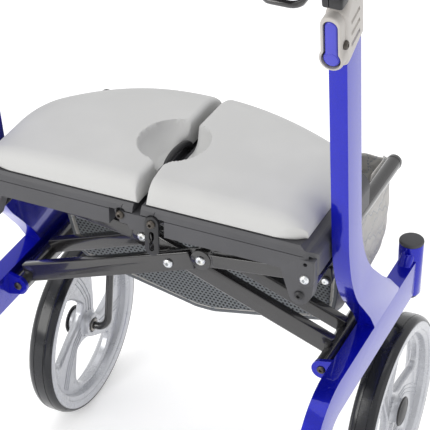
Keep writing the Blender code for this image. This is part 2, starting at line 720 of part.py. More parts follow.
def cross_arm(side):
    """Arm from one lower pivot up to the other side's knee; side is that of its pivot."""
    near = ARM_NEAR_Y if side < 0 else ARM_NEAR_Y + ARM_PAIR_STEP
    middle = FRONT_AXLE_Y + near + ARM_THICKNESS / 2
    lap = LAP_REACH
    slope = math.atan2(KNEE_Z - ARM_FOOT_Z, KNEE_X + PIVOT_X)
    stop = Vector((KNEE_X - lap * math.cos(slope), KNEE_Z - lap * math.sin(slope)))
    full = bar((-PIVOT_X + 0.002, arm_line(-PIVOT_X + 0.002)), stop, ARM_HEIGHT / 2, round_end=False)
    root = stop - Vector((0.006, 0.006 * math.tan(slope)))
    tongue = bar(root, (KNEE_X, KNEE_Z), ARM_HEIGHT / 2 - LAP_STEP)
    half_lap = ARM_THICKNESS / 2 - GAP / 2 - LAP_STEP
    pieces = [rounded(slab(flip(full, side), ARM_THICKNESS, "XZ", middle), 0.0025),
              slab(flip(tongue, side), half_lap, "XZ", middle + GAP / 2 + half_lap / 2)]
    x = side * PIVOT_X
    tube = cylinder(PIVOT_TUBE_RADIUS, spot(x, EAR_NEAR_Y + EAR_THICKNESS + GAP, PIVOT_Z),
                    spot(x, EAR_FAR_Y - GAP, PIVOT_Z), 14)
    arm = joined(tube, *pieces)
    if side > 0:
        spacer_near = ARM_NEAR_Y + ARM_THICKNESS + GAP
        spacer_far = spot(0, near + 0.003, arm_line(0))
        arm = joined(arm, cylinder(SPACER_RADIUS, spot(0, spacer_near, arm_line(0)), spacer_far, 14))
    pivot_bore = cylinder(PIVOT_BOLT_RADIUS + RUNNING_GAP, spot(x, EAR_NEAR_Y - 0.02, PIVOT_Z),
                          spot(x, EAR_FAR_Y + 0.02, PIVOT_Z), 12)
    cross_bore = arm_bore(0, arm_line(0), CROSS_BOLT_RADIUS)
    arm = cut(arm, pivot_bore, cross_bore, arm_bore(-side * KNEE_X, KNEE_Z, KNEE_BOLT_RADIUS))
    pivot = spot(x, EAR_NEAR_Y, PIVOT_Z) if side < 0 else spot(0, near, arm_line(0))
    return finish(arm, f"cross_arm_{side_name(side)}", GLOSS_BLACK, pivot)


def flip(points, side):
    """Mirror an outline drawn for the left pivot's arm when it is for the right one."""
    return points if side < 0 else [Vector((-p.x, p.y)) for p in points]


def seat_rail(side):
    """Rail with the link that carries it; side is that of the rail."""
    near = ARM_NEAR_Y if side > 0 else ARM_NEAR_Y + ARM_PAIR_STEP
    middle = FRONT_AXLE_Y + near + ARM_THICKNESS / 2
    slope = math.atan2(LINK_END_Z - KNEE_Z, LINK_END_X - KNEE_X)
    along = Vector((math.cos(slope), math.sin(slope)))
    knee = Vector((KNEE_X, KNEE_Z))
    start = knee + along * LAP_REACH
    half = LINK_HEIGHT / 2
    half_lap = ARM_THICKNESS / 2 - GAP / 2 - LAP_STEP
    full = bar(start, (LINK_END_X - 0.004, LINK_END_Z - 0.0005), half)
    tongue = bar(start + along * 0.006, knee, LINK_HEIGHT / 2 - LAP_STEP)
    foot = (LINK_END_X - 0.003, LINK_END_Z)
    riser = bar(foot, (RAIL_X, RAIL_Z), 0.0085, round_start=True, round_end=False)
    rail = cylinder(RAIL_RADIUS, spot(side * RAIL_X, RAIL_NEAR_Y, RAIL_Z),
                    spot(side * RAIL_X, RAIL_FAR_Y, RAIL_Z), RAIL_SIDES)
    dome = turned([(0.0, 0.0055), (RAIL_RADIUS * 0.6, 0.0045), (RAIL_RADIUS * 1.04, 0.001),
                   (RAIL_RADIUS * 1.04, -0.004), (0.0, -0.004)],
                  "Y", spot(side * RAIL_X, RAIL_FAR_Y, RAIL_Z), RAIL_SIDES, closed=False)
    rail = joined(rail, dome, slab(flip(riser, -side), ARM_THICKNESS - 0.0004, "XZ", middle),
                  rounded(slab(flip(full, -side), ARM_THICKNESS, "XZ", middle), 0.002, 1),
                  slab(flip(tongue, -side), half_lap, "XZ", middle - GAP / 2 - half_lap / 2))
    screw_bore = cylinder(TRAY_BOLT_RADIUS + GAP, spot(side * RAIL_X, RAIL_NEAR_Y - 0.01, RAIL_Z),
                          spot(side * RAIL_X, RAIL_NEAR_Y + TRAY_BOLT_BITE + GAP, RAIL_Z), 12)
    rail = cut(rail, arm_bore(side * KNEE_X, KNEE_Z, KNEE_BOLT_RADIUS), screw_bore)
    knee_pivot = spot(side * KNEE_X, near, KNEE_Z)
    return finish(rail, f"seat_rail_{side_name(side)}", GLOSS_BLACK, knee_pivot)


def button_bolt(x, z, near, far, radius, head=BUTTON_RADIUS, nut=0.0):
    """Bolt along Y with a domed head at its near end and, if asked, a nut at its far end."""
    shank_near = near - 0.0003
    profile = [(0.0, shank_near - BUTTON_HEIGHT), (head * 0.6, shank_near - BUTTON_HEIGHT),
               (head, shank_near - BUTTON_HEIGHT * 0.35), (head, shank_near)]
    if nut:
        nut_near, nut_far = far + GAP, far + NUT_HEIGHT
        profile += [(radius, shank_near), (radius, nut_near)]
        profile += [(nut, nut_near), (nut, nut_far), (0.0, nut_far)]
    else:
        profile += [(radius, shank_near), (radius, far), (0.0, far)]
    return turned([(r, h) for r, h in profile], "Y", spot(x, 0, z), 12, closed=False)


def pivot_bolt(side):
    far = EAR_FAR_Y + EAR_THICKNESS
    bolt = button_bolt(side * PIVOT_X, PIVOT_Z, EAR_NEAR_Y, far, PIVOT_BOLT_RADIUS, nut=0.0065)
    return finish(bolt, f"pivot_bolt_{side_name(side)}", ZINC, spot(side * PIVOT_X, EAR_NEAR_Y, PIVOT_Z))


def centre_bolt():
    far = ARM_NEAR_Y + ARM_PAIR_STEP + ARM_THICKNESS
    bolt = button_bolt(0, arm_line(0), ARM_NEAR_Y, far, CROSS_BOLT_RADIUS, nut=0.0065)
    return finish(bolt, "centre_bolt", ZINC, spot(0, ARM_NEAR_Y, arm_line(0)))


def knee_bolt(side):
    """Bolt through the lapped ends of an arm and its link; side is that of the knee."""
    near = ARM_NEAR_Y if side > 0 else ARM_NEAR_Y + ARM_PAIR_STEP
    bolt = button_bolt(side * KNEE_X, KNEE_Z, near, near + ARM_THICKNESS, KNEE_BOLT_RADIUS, nut=0.006)
    return finish(bolt, f"knee_bolt_{side_name(side)}", ZINC, spot(side * KNEE_X, near, KNEE_Z))


def rail_clip(side):
    """Grey cover on the link's end below the rail, with its bolt head."""
    near = ARM_NEAR_Y if side > 0 else ARM_NEAR_Y + ARM_PAIR_STEP
    outline = bar((LINK_END_X - 0.001, LINK_END_Z), (LINK_END_X - 0.003, LINK_END_Z + 0.0165), 0.0075,
                  round_start=True, round_end=False)
    plate = slab(flip(outline, -side), 0.003, "XZ", FRONT_AXLE_Y + near - 0.0015 - GAP)
    head = turned([(0.0, near - 0.0060), (0.0035, near - 0.0060), (0.0055, near - 0.0045),
                   (0.0055, near - 0.002), (0.0, near - 0.002)],
                  "Y", spot(side * (LINK_END_X - 0.001), 0, LINK_END_Z), 12, closed=False)
    return finish(joined(rounded(plate, 0.0006, 1), head), f"rail_clip_{side_name(side)}", SILVER,
                  spot(side * KNEE_X, near, KNEE_Z))


def tray_shell(side):
    """Tray half: a plate with a shoulder, a rolled outer edge and skirts, open below."""
    near, far = FRONT_AXLE_Y + SEAT_NEAR_Y, FRONT_AXLE_Y + SEAT_FAR_Y
    radius = TRAY_EDGE_RADIUS
    corner = (TRAY_OUTER_X - radius, TRAY_TOP_Z - 0.004 - radius)
    outline = [Vector((TRAY_INNER_X, TRAY_CREASE_Z)), Vector((SKIRT_END_X, TRAY_CREASE_Z)),
               Vector((SKIRT_END_X, SKIRT_BOTTOM_Z)), Vector((TRAY_OUTER_X - 0.006, SKIRT_BOTTOM_Z)),
               Vector((TRAY_OUTER_X - 0.004, TRAY_FLANGE_Z)), Vector((TRAY_OUTER_X, TRAY_FLANGE_Z))]
    outline += arc(corner, radius, 0, math.pi / 2, 6)
    outline += [Vector((PAD_OUTER_X - 0.004, TRAY_TOP_Z)), Vector((TRAY_INNER_X, TRAY_TOP_Z))]
    shell = slab(flip(outline, -side), far - near, "XZ", (near + far) / 2)
    low_x, high_x = SKIRT_END_X + TRAY_WALL, TRAY_OUTER_X - TRAY_WALL
    hollow = [Vector((low_x, SKIRT_BOTTOM_Z - 0.01)), Vector((high_x, SKIRT_BOTTOM_Z - 0.01)),
              Vector((high_x, corner[1])), Vector((high_x - radius * 0.4, corner[1] + radius * 0.6)),
              Vector((high_x - radius - 0.004, TRAY_TOP_Z - TRAY_WALL - 0.002)),
              Vector((low_x, TRAY_TOP_Z - TRAY_WALL - 0.002))]
    room = slab(flip(hollow, -side), far - near - 2 * TRAY_WALL, "XZ", (near + far) / 2)
    shoulder = TRAY_TOP_Z - TRAY_CREASE_Z
    wedges = []
    for edge, inward in ((near, 1), (far, -1)):
        points = [Vector((edge - inward * 0.002, TRAY_CREASE_Z)), Vector((edge, TRAY_CREASE_Z)),
                  Vector((edge + inward * shoulder * 0.18, TRAY_CREASE_Z + shoulder * 0.6)),
                  Vector((edge + inward * shoulder * 0.5, TRAY_TOP_Z + 0.0001)),
                  Vector((edge - inward * 0.002, TRAY_TOP_Z + 0.002))]
        wedges.append(slab(points, 2.2 * TRAY_OUTER_X, "YZ", 0))
    return cut(shell, room, link_notch(side), *wedges)


def link_notch(side):
    """Gap in the outer skirt through which the end of the link passes as the seat folds up."""
    near = (ARM_NEAR_Y if side > 0 else ARM_NEAR_Y + ARM_PAIR_STEP) - 0.0085
    ends = sorted((side * LINK_NOTCH_X, side * (TRAY_OUTER_X + 0.01)))
    far = near + ARM_THICKNESS + 0.011
    return box(spot(ends[0], near, TRAY_FLANGE_Z - 0.01), spot(ends[1], far, LINK_NOTCH_Z))


def knuckle(side, near, far, radius):
    """Lug below the tray plate round a seat pin."""
    x = side * SEAT_PIN_X
    outline = [Vector((x + radius, TRAY_CREASE_Z + 0.002)), Vector((x - radius, TRAY_CREASE_Z + 0.002))]
    outline += arc((x, SEAT_PIN_Z), radius, math.pi, 2 * math.pi, 6)
    return slab(outline, far - near, "XZ", FRONT_AXLE_Y + (near + far) / 2)


def knuckle_places():
    """Near and far ends of the tray lugs along Y."""
    near_start = SEAT_NEAR_Y + 0.0055
    far_start = SEAT_FAR_Y - 0.0055 - KNUCKLE_LENGTH
    return [(near_start, near_start + KNUCKLE_LENGTH), (far_start, far_start + KNUCKLE_LENGTH)]


def rail_lug(side, near, far):
    """Hanger from the tray down round the rail's axis."""
    half = TRAY_EAR_RADIUS
    top = SKIRT_BOTTOM_Z + 0.006
    outline = [Vector((RAIL_X + half * 1.2, top)), Vector((RAIL_X - half * 2.0, top))]
    outline += arc((RAIL_X, RAIL_Z), half, math.pi * 1.05, 2 * math.pi, 10)
    return slab(flip(outline, -side), far - near, "XZ", FRONT_AXLE_Y + (near + far) / 2)


def seat_tray(side):
    name = side_name(side)
    slack = OPEN_PIVOT_SLACK if side < 0 else RUNNING_GAP
    hole = SEAT_PIN_RADIUS + slack
    lug_radius = KNUCKLE_RADIUS + (slack - RUNNING_GAP) * 0.5
    tray = tray_shell(side)
    lugs = [knuckle(side, near, far, lug_radius) for near, far in knuckle_places()]
    ear_far = RAIL_NEAR_Y - GAP
    ring_near = SEAT_FAR_Y - 0.0135
    lugs += [rail_lug(side, SEAT_NEAR_Y, ear_far), rail_lug(side, ring_near, SEAT_FAR_Y - 0.0015)]
    tray = joined(tray, *lugs)
    x = side * SEAT_PIN_X
    pin_hole = cylinder(hole, spot(x, SEAT_NEAR_Y - 0.01, SEAT_PIN_Z),
                        spot(x, SEAT_FAR_Y + 0.01, SEAT_PIN_Z), 16)
    ear_hole = cylinder(TRAY_BOLT_RADIUS + RUNNING_GAP, spot(side * RAIL_X, SEAT_NEAR_Y - 0.01, RAIL_Z),
                        spot(side * RAIL_X, ear_far + 0.005, RAIL_Z), 16)
    rail_hole = cylinder(RAIL_RADIUS + RUNNING_GAP, spot(side * RAIL_X, ring_near - 0.01, RAIL_Z),
                         spot(side * RAIL_X, SEAT_FAR_Y + 0.01, RAIL_Z), RAIL_SIDES)
    key_hole = cylinder(0.0035, spot(side * (RAIL_X + 0.003), SEAT_NEAR_Y - 0.01, RAIL_Z + 0.0205),
                        spot(side * (RAIL_X + 0.003), SEAT_NEAR_Y + 0.012, RAIL_Z + 0.0205), 12)
    tray = cut(tray, pin_hole, ear_hole, rail_hole, key_hole)
    return finish(tray, f"seat_tray_{name}", CHARCOAL, spot(side * RAIL_X, RAIL_NEAR_Y, RAIL_Z))


def seat_bridge():
    """Beam between the two seat pins, with end plates that look like the skirt's middle."""
    plate_low = SEAT_PIN_Z - 0.0105
    plates = []
    knuckles = knuckle_places()
    near_end = knuckles[0][0] - GAP
    far_end = knuckles[1][1] + GAP
    thickness = near_end - SEAT_NEAR_Y
    for middle in (SEAT_NEAR_Y + thickness / 2, knuckles[0][1] + GAP + thickness / 2,
                   knuckles[1][0] - GAP - thickness / 2, far_end + thickness / 2):
        reach = SEAT_PIN_X + 0.0005
        outline = [Vector((0.0085, SKIRT_BOTTOM_Z)), Vector((0.0115, plate_low)),
                   Vector((reach, plate_low + 0.0004))]
        outline += arc((reach, SEAT_PIN_Z), BRIDGE_EAR_RADIUS, -math.pi * 0.35, math.pi / 2, 3)
        outline += [Vector((-p.x, p.y)) for p in outline[::-1]]
        plates.append(slab(outline, thickness, "XZ", FRONT_AXLE_Y + middle))
    beam = box(spot(-BRIDGE_HALF_WIDTH, SEAT_NEAR_Y + 0.001, SKIRT_BOTTOM_Z + 0.003),
               spot(BRIDGE_HALF_WIDTH, far_end + thickness - 0.001, BRIDGE_TOP_Z))
    bridge = joined(beam, *plates)
    holes = [cylinder(SEAT_PIN_RADIUS + GAP, spot(x, SEAT_NEAR_Y - 0.01, SEAT_PIN_Z),
                      spot(x, SEAT_FAR_Y + 0.02, SEAT_PIN_Z), 10) for x in (-SEAT_PIN_X, SEAT_PIN_X)]
    holes += [cylinder(PULL_ROD_RADIUS + GAP, spot(0, y, BRIDGE_TOP_Z - PULL_SOCKET - GAP),
                       spot(0, y, BRIDGE_TOP_Z + 0.01), 8) for y in (PULL_NEAR_Y, PULL_FAR_Y)]
    return finish(cut(bridge, *holes), "seat_bridge", CHARCOAL, spot(SEAT_PIN_X, SEAT_NEAR_Y, SEAT_PIN_Z))


def hinge_pin(side):
    far = knuckle_places()[1][1] + GAP + 0.005
    near = SEAT_NEAR_Y - (LINK_PLATE_THICKNESS + 2 * GAP if side > 0 else 0)
    pin = button_bolt(side * SEAT_PIN_X, SEAT_PIN_Z, near, far, SEAT_PIN_RADIUS, head=0.0052)
    return finish(pin, f"hinge_pin_{side_name(side)}", ZINC, spot(side * SEAT_PIN_X, SEAT_NEAR_Y, SEAT_PIN_Z))


def tray_bolt(side):
    far = RAIL_NEAR_Y + TRAY_BOLT_BITE
    bolt = button_bolt(side * RAIL_X, RAIL_Z, SEAT_NEAR_Y, far, TRAY_BOLT_RADIUS, head=0.0075)
    return finish(bolt, f"tray_bolt_{side_name(side)}", ZINC, spot(side * RAIL_X, RAIL_NEAR_Y, RAIL_Z))


def fold_link():
    """Black link with two slots that hangs from the right seat pin."""
    length = 0.050
    y = FRONT_AXLE_Y + SEAT_NEAR_Y - GAP - LINK_PLATE_THICKNESS / 2
    link = slab(bar((SEAT_PIN_X, SEAT_PIN_Z - length), (SEAT_PIN_X, SEAT_PIN_Z), 0.0085, round_start=True),
                LINK_PLATE_THICKNESS, "XZ", y)
    pin_hole = cylinder(SEAT_PIN_RADIUS + RUNNING_GAP, (SEAT_PIN_X, y - 0.01, SEAT_PIN_Z),
                        (SEAT_PIN_X, y + 0.01, SEAT_PIN_Z), 16)
    slots = []
    for low, high in ((0.047, 0.036), (0.029, 0.014)):
        outline = bar((SEAT_PIN_X, SEAT_PIN_Z - low), (SEAT_PIN_X, SEAT_PIN_Z - high), 0.0042,
                      round_start=True, count=6)
        slots.append(slab(outline, 0.02, "XZ", y))
    return finish(cut(link, pin_hole, *slots), "fold_link", BLACK_PLASTIC, (SEAT_PIN_X, y, SEAT_PIN_Z))


def pad_height(x, y):
    """Top of the pad above its flat base, before the hand recess."""
    across = (abs(x) - PAD_INNER_X) / (PAD_OUTER_X - PAD_INNER_X)
    middle = (PAD_NEAR_Y + PAD_FAR_Y) / 2
    along = (y - middle) / ((PAD_FAR_Y - PAD_NEAR_Y) / 2)
    return PAD_SIDE_HEIGHT + PAD_CROWN * (1 - 0.55 * across ** 2) * max(0.0, 1 - 0.55 * along ** 2)


def bowl_drop(x, y):
    """Depth of the oval hand recess that both pads share."""
    reach = math.hypot(x / BOWL_HALF_X, (y - BOWL_CENTRE_Y) / BOWL_HALF_Y)
    return BOWL_DEPTH * (0.5 + 0.5 * math.cos(math.pi * min(reach, 1.0))) ** 0.8


def seat_pad(side):
    """Foam pad with a crown, drawn-in sides, a far edge that bulges and half of the hand recess."""
    mesh_data = bmesh.new()
    bmesh.ops.create_cube(mesh_data, size=1)
    bmesh.ops.subdivide_edges(mesh_data, edges=mesh_data.edges, cuts=6, use_grid_fill=True)
    base = TRAY_TOP_Z + GAP
    for vert in mesh_data.verts:
        across, along, up = vert.co.x + 0.5, vert.co.y + 0.5, vert.co.z + 0.5
        across = 0.5 - 0.5 * math.cos(math.pi * across) if across > 0.75 else across
        x = PAD_INNER_X + (PAD_OUTER_X - PAD_INNER_X) * across
        far = PAD_FAR_Y + PAD_FAR_BULGE * (1 - across ** 2.2)
        y = PAD_NEAR_Y + (far - PAD_NEAR_Y) * along
        height = pad_height(x, min(y, PAD_FAR_Y)) - bowl_drop(x, y)
        draw = 0.006 * (2 * up - 1) ** 2
        x -= draw * max(0.0, 2 * across - 1) ** 6
        y += draw * (max(0.0, 1 - 2 * along) ** 6 - max(0.0, 2 * along - 1) ** 6)
        vert.co = spot(side * x, y, base + height * up)
    if side < 0:
        bmesh.ops.reverse_faces(mesh_data, faces=mesh_data.faces)
    pad = from_bmesh(mesh_data)
    for edge in pad.data.edges:
        edge.use_edge_sharp = False
    return finish(rounded(pad, 0.005, 1, 55), f"seat_pad_{side_name(side)}", FOAM,
                  spot(side * RAIL_X, RAIL_NEAR_Y, RAIL_Z))


def pull_handle():
    """Black arched grip that stands on the bridge inside the hand recess."""
    top = BRIDGE_TOP_Z + PULL_HEIGHT
    corners = [spot(0, PULL_NEAR_Y, BRIDGE_TOP_Z - PULL_SOCKET), spot(0, PULL_NEAR_Y, top),
               spot(0, PULL_FAR_Y, top), spot(0, PULL_FAR_Y, BRIDGE_TOP_Z - PULL_SOCKET)]
    arch = rod(bent(corners, 0.011, 5), PULL_ROD_RADIUS, 2)
    return finish(arch, "pull_handle", BLACK_PLASTIC, spot(SEAT_PIN_X, SEAT_NEAR_Y, SEAT_PIN_Z))


def bag_section():
    """Points of the bag's outline across the frame, from the right top edge to the left one."""
    half = [(BAG_TOP_X - inward, BAG_TOP_Z - down) for inward, down in BAG_SECTION]
    middle = (BAG_BOTTOM_X / 2, (BAG_SIDE_BOTTOM_Z + BAG_KEEL_Z) / 2 - 0.0035)
    half += [(BAG_BOTTOM_X, BAG_SIDE_BOTTOM_Z), middle, (0.0, BAG_KEEL_Z)]
    return half + [(-x, z) for x, z in half[-2::-1]]


def bag_body(wall):
    """Closed volume lofted from the rear panel to the front; a wall above zero gives the inside."""
    mesh_data = bmesh.new()
    rings = []
    for share, swell, top in BAG_RINGS:
        ring = []
        for x, z in bag_section():
            z = min(z, top)
            lift = (z - BAG_KEEL_Z) / (BAG_TOP_Z - BAG_KEEL_Z)
            near = BAG_NEAR_BOTTOM_Y + (BAG_NEAR_TOP_Y - BAG_NEAR_BOTTOM_Y) * lift ** 1.3
            y = near + wall + (BAG_FRONT_Y - near - 2 * wall) * share
            wide = max(0.0, abs(x) * (1.0 if z > BAG_TOP_Z - 0.064 else swell) - wall)
            height = z + wall if z < top else z + 4 * wall
            ring.append(mesh_data.verts.new(spot(math.copysign(wide, x), y, height)))
        rings.append(ring)
    count = len(rings[0])
    for before, after in zip(rings, rings[1:]):
        for i in range(count):
            j = (i + 1) % count
            mesh_data.faces.new((before[i], before[j], after[j], after[i]))
    mesh_data.faces.new(rings[0][::-1])
    mesh_data.faces.new(rings[-1])
    bmesh.ops.recalc_face_normals(mesh_data, faces=mesh_data.faces)
    return from_bmesh(mesh_data)


def bag():
    solid = cut(bag_body(0.0), bag_body(BAG_WALL))
    return finish(solid, "bag", CLOTH, spot(RAIL_X, RAIL_NEAR_Y, RAIL_Z))


def casing_outline(front, rear, low, high, slant):
    """Side view of the casing: it follows the lean, its lower edge slants and its top is round."""
    points = [post_point(low, rear), post_point(low + slant * 0.35, rear * 0.3)]
    points += [post_point(low + slant, -front)]
    points += [post_point(high - 0.010, -front), post_point(high, -front + 0.010)]
    points += [post_point(high, rear - 0.014), post_point(high - 0.012, rear)]
    return points


def clamp_casing(side):
    x = side * FRAME_X
    outline = casing_outline(CASING_FRONT, CASING_REAR, CASING_BOTTOM_Z, CASING_TOP_Z, 0.014)
    casing = rounded(slab(outline, CASING_WIDTH, "YZ", x), 0.0045, 2, 60)
    half = POST_DEPTH / 2 + GAP
    line = [post_point(POST_TOP_Z + GAP), post_point(CASING_BOTTOM_Z - 0.05)]
    post_room = slab(band(line, [half] * 2, [half] * 2), POST_WIDTH + 2 * GAP, "YZ", x)
    post_room = hollow(post_room, TUBE_CORNER)
    slot_half = LEVER_WIDTH / 2 + RUNNING_GAP
    slot_top, slot_bottom = LEVER_HINGE_Z + 0.008, LEVER_KNOB_Z - 0.014
    lip = [post_point(slot_top, CASING_REAR + 0.01), post_point(slot_top, LEVER_FLOOR),
           post_point(slot_bottom, LEVER_FLOOR), post_point(slot_bottom, CASING_REAR + 0.01)]
    slot = slab(lip, 2 * slot_half, "YZ", x)
    knob = post_point(LEVER_KNOB_Z, LEVER_FLOOR - 0.0004)
    knob_out = post_point(LEVER_KNOB_Z, CASING_REAR + 0.02)
    dish = cylinder(LEVER_KNOB_RADIUS + 0.0012, (x, *knob), (x, *knob_out), 14)
    hinge = post_point(LEVER_HINGE_Z, LEVER_AXIS)
    reach = slot_half + LEVER_PIN_REACH + GAP
    pin_hole = cylinder(LEVER_PIN_RADIUS + RUNNING_GAP, (x - reach, *hinge), (x + reach, *hinge), 12)
    casing = cut(casing, post_room, handle_room(x), joined(slot, dish), pin_hole)
    return finish(casing, f"clamp_casing_{side_name(side)}", CASING_GREY)


def clamp_lever(side):
    """Flat lever that hangs from its pin in the casing's rear slot and ends in a round knob."""
    x = side * FRAME_X
    hinge = post_point(LEVER_HINGE_Z, LEVER_AXIS)
    knob = post_point(LEVER_KNOB_Z, LEVER_AXIS)
    shank = slab(bar(knob, hinge, LEVER_THICKNESS / 2), LEVER_WIDTH, "YZ", x)
    low = post_point(LEVER_KNOB_Z, LEVER_AXIS - LEVER_THICKNESS / 2)
    high = post_point(LEVER_KNOB_Z, LEVER_AXIS + LEVER_THICKNESS / 2 + 0.0012)
    disc = rounded(cylinder(LEVER_KNOB_RADIUS, (x, *low), (x, *high), 14), 0.001, 1)
    reach = LEVER_WIDTH / 2 + RUNNING_GAP + LEVER_PIN_REACH
    pin = cylinder(LEVER_PIN_RADIUS, (x - reach, *hinge), (x + reach, *hinge), 12)
    lever = joined(rounded(shank, 0.0008, 1), disc, pin)
    return finish(lever, f"clamp_lever_{side_name(side)}", LEVER_BLUE, (x, *hinge))


def handle_line(start_z, grip_end):
    """Centre line of the handle tube: up the lean, round a bend and rearward along the grip."""
    start = post_point(start_z)
    turn = math.pi / 2 - POST_LEAN
    corner = post_point(GRIP_Z)
    reach = HANDLE_BEND_RADIUS * math.tan(turn / 2)
    centre = (corner.x - reach, GRIP_Z - HANDLE_BEND_RADIUS)
    bend = arc(centre, HANDLE_BEND_RADIUS, POST_LEAN, math.pi / 2, 6)
    return [start] + bend + [Vector((bend[-1].x - grip_end, GRIP_Z))]


def handle_outline(clear, start_z, grip_end):
    """Outline of the handle tube: deep where it slides, slimmer in the grip."""
    line = handle_line(start_z, grip_end)
    bend = len(line) - 2
    halves = [HANDLE_DEPTH / 2]
    for i in range(bend):
        share = i / (bend - 1)
        halves.append((HANDLE_DEPTH * (1 - share) + GRIP_CORE_DEPTH * share) / 2)
    halves.append(GRIP_CORE_DEPTH / 2)
    halves = [half + clear for half in halves]
    return band(line, halves, halves)


def handle_room(x):
    """Straight passage for the handle tube through the casing."""
    half = HANDLE_DEPTH / 2 + RUNNING_GAP
    line = [post_point(CASING_TOP_Z + 0.03), post_point(POST_TOP_Z - 0.01)]
    outline = band(line, [half] * 2, [half] * 2)
    return hollow(slab(outline, HANDLE_WIDTH + 2 * RUNNING_GAP, "YZ", x), HANDLE_CORNER)


def handle_tube(side):
    x = side * FRAME_X
    outline = handle_outline(0.0, HANDLE_FOOT_Z, GRIP_START + GRIP_LENGTH - 0.012)
    tube = rounded(slab(outline, HANDLE_WIDTH, "YZ", x), HANDLE_CORNER)
    return finish(tube, f"handle_tube_{side_name(side)}", SILVER, (x, *post_point(POST_TOP_Z)))


def grip_start_y():
    return handle_line(POST_TOP_Z, 0.0)[-1].x - GRIP_START


def hand_grip(side):
    """Soft grip with a palm swell and a raised end, over the handle tube's slim end."""
    x = side * FRAME_X
    start = grip_start_y()
    shares = [(0.0, 1.12), (0.03, 1.12), (0.06, 0.92), (0.30, 0.98), (0.55, 1.08), (0.80, 0.96), (0.98, 1.1)]
    profile = [(0.0, 0.0)] + [(GRIP_RADIUS * r, -GRIP_LENGTH * s) for s, r in shares]
    profile += [(GRIP_RADIUS * 0.85, -GRIP_LENGTH), (0.0, -GRIP_LENGTH)]
    grip = turned(profile, "Y", (x, start, GRIP_Z), 14, closed=False)
    core = box((x - HANDLE_WIDTH / 2 - GAP, start - GRIP_LENGTH + 0.0117, GRIP_Z - GRIP_CORE_DEPTH / 2 - GAP),
               (x + HANDLE_WIDTH / 2 + GAP, start + 0.01, GRIP_Z + GRIP_CORE_DEPTH / 2 + GAP))
    grip = cut(grip, hollow(core, HANDLE_CORNER))
    return finish(grip, f"hand_grip_{side_name(side)}", RUBBER, (x, start, GRIP_Z))


def brake_axis(side):
    """Hinge of the brake loop below the housing."""
    return Vector((side * FRAME_X, grip_start_y() + GRIP_START / 2, GRIP_Z - 0.024))


def brake_housing(side):
    """Clamp round the handle tube ahead of the grip; the brake loop hangs from it."""
    x = side * FRAME_X
    start = grip_start_y()
    low_y, high_y = start + 0.0008, start + GRIP_START - 0.001
    outline = [Vector((low_y, GRIP_Z - 0.030)), Vector((high_y - 0.005, GRIP_Z - 0.030)),
               Vector((high_y, GRIP_Z - 0.022)), Vector((high_y, GRIP_Z + 0.010)),
               Vector((high_y - 0.006, GRIP_Z + 0.0145)), Vector((low_y, GRIP_Z + 0.0145))]
    body = rounded(slab(outline, BRAKE_HOUSING_WIDTH, "YZ", x), 0.002, 1)
    core = box((x - HANDLE_WIDTH / 2 - GAP, start - 0.01, GRIP_Z - GRIP_CORE_DEPTH / 2 - GAP),
               (x + HANDLE_WIDTH / 2 + GAP, start + GRIP_START + 0.01, GRIP_Z + GRIP_CORE_DEPTH / 2 + GAP))
    axis = brake_axis(side)
    reach = Vector((0.03, 0, 0))
    pin = cylinder(BRAKE_ROD_RADIUS + RUNNING_GAP, axis - reach, axis + reach, 10)
    body = cut(body, hollow(core, HANDLE_CORNER), pin)
    return finish(body, f"brake_housing_{side_name(side)}", BLACK_PLASTIC, axis)


def brake_lever(side):
    """Closed loop of bent rod under the grip; its front bar is the hinge pin."""
    axis = brake_axis(side)
    half = BRAKE_LOOP_HALF
    rear = -BRAKE_LOOP_LENGTH
    drop = -(BRAKE_LOOP_DROP - 0.024)
    front = Vector((0, 0, 0))
    one_side = [Vector((half, 0, 0)), Vector((half, -0.020, drop * 0.75)), Vector((half, rear, drop))]
    other_side = [Vector((-p.x, p.y, p.z)) for p in one_side[::-1]]
    ring = [front] + one_side + other_side + [front]
    line = bent([axis + p for p in ring], 0.006, 3)[:-1]
    loop = rod(line, BRAKE_ROD_RADIUS, 2, closed=True)
    return finish(loop, f"brake_lever_{side_name(side)}", GLOSS_BLACK, axis)


def backrest_bracket(side):
    """Two-part black socket on the casing's rear face, for a backrest strap."""
    x = side * FRAME_X
    low, high = CASING_TOP_Z - 0.0275, CASING_TOP_Z - 0.008
    near, far = CASING_REAR + GAP, CASING_REAR + 0.026
    outline = [post_point(low, near), post_point(high, near),
               post_point(high - 0.003, far), post_point(low + 0.003, far)]
    block = rounded(slab(outline, 0.020, "YZ", x), 0.002, 1)
    middle = (low + high) / 2
    slit = [post_point(middle - 0.0008, near + 0.008), post_point(middle + 0.0008, near + 0.008),
            post_point(middle + 0.0008, far + 0.01), post_point(middle - 0.0008, far + 0.01)]
    block = cut(block, slab(slit, 0.05, "YZ", x))
    return finish(block, f"backrest_bracket_{side_name(side)}", BLACK_PLASTIC)


def build_side(side):
    """Everything that belongs to one side frame, grouped by the body it moves with."""
    name = side_name(side)
    frame = [side_frame(side), head_cap(side), pivot_bolt(side), clamp_casing(side), backrest_bracket(side)]
    lower_pivot = spot(side * PIVOT_X, EAR_NEAR_Y, PIVOT_Z)
    hinge_group(f"frame_{name}_body", lower_pivot, frame)
    steering = spot(side * FRAME_X, TRAIL, HEAD_BOTTOM_Z)
    hinge_group(f"caster_{name}_body", steering, [caster_fork(side)])
    hinge_group(f"front_wheel_{name}_body", spot(side * FRAME_X, 0.0, FRONT_WHEEL_RADIUS), front_wheel(side))
    hinge_group(f"rear_wheel_{name}_body", Vector((side * REAR_WHEEL_X, *rear_axle())), rear_wheel(side))
    brake_shoe(side)
    clamp_lever(side)
    handle = [handle_tube(side), hand_grip(side), brake_housing(side)]
    hinge_group(f"handle_{name}_body", Vector((side * FRAME_X, *post_point(POST_TOP_Z))), handle)
    brake_lever(side)


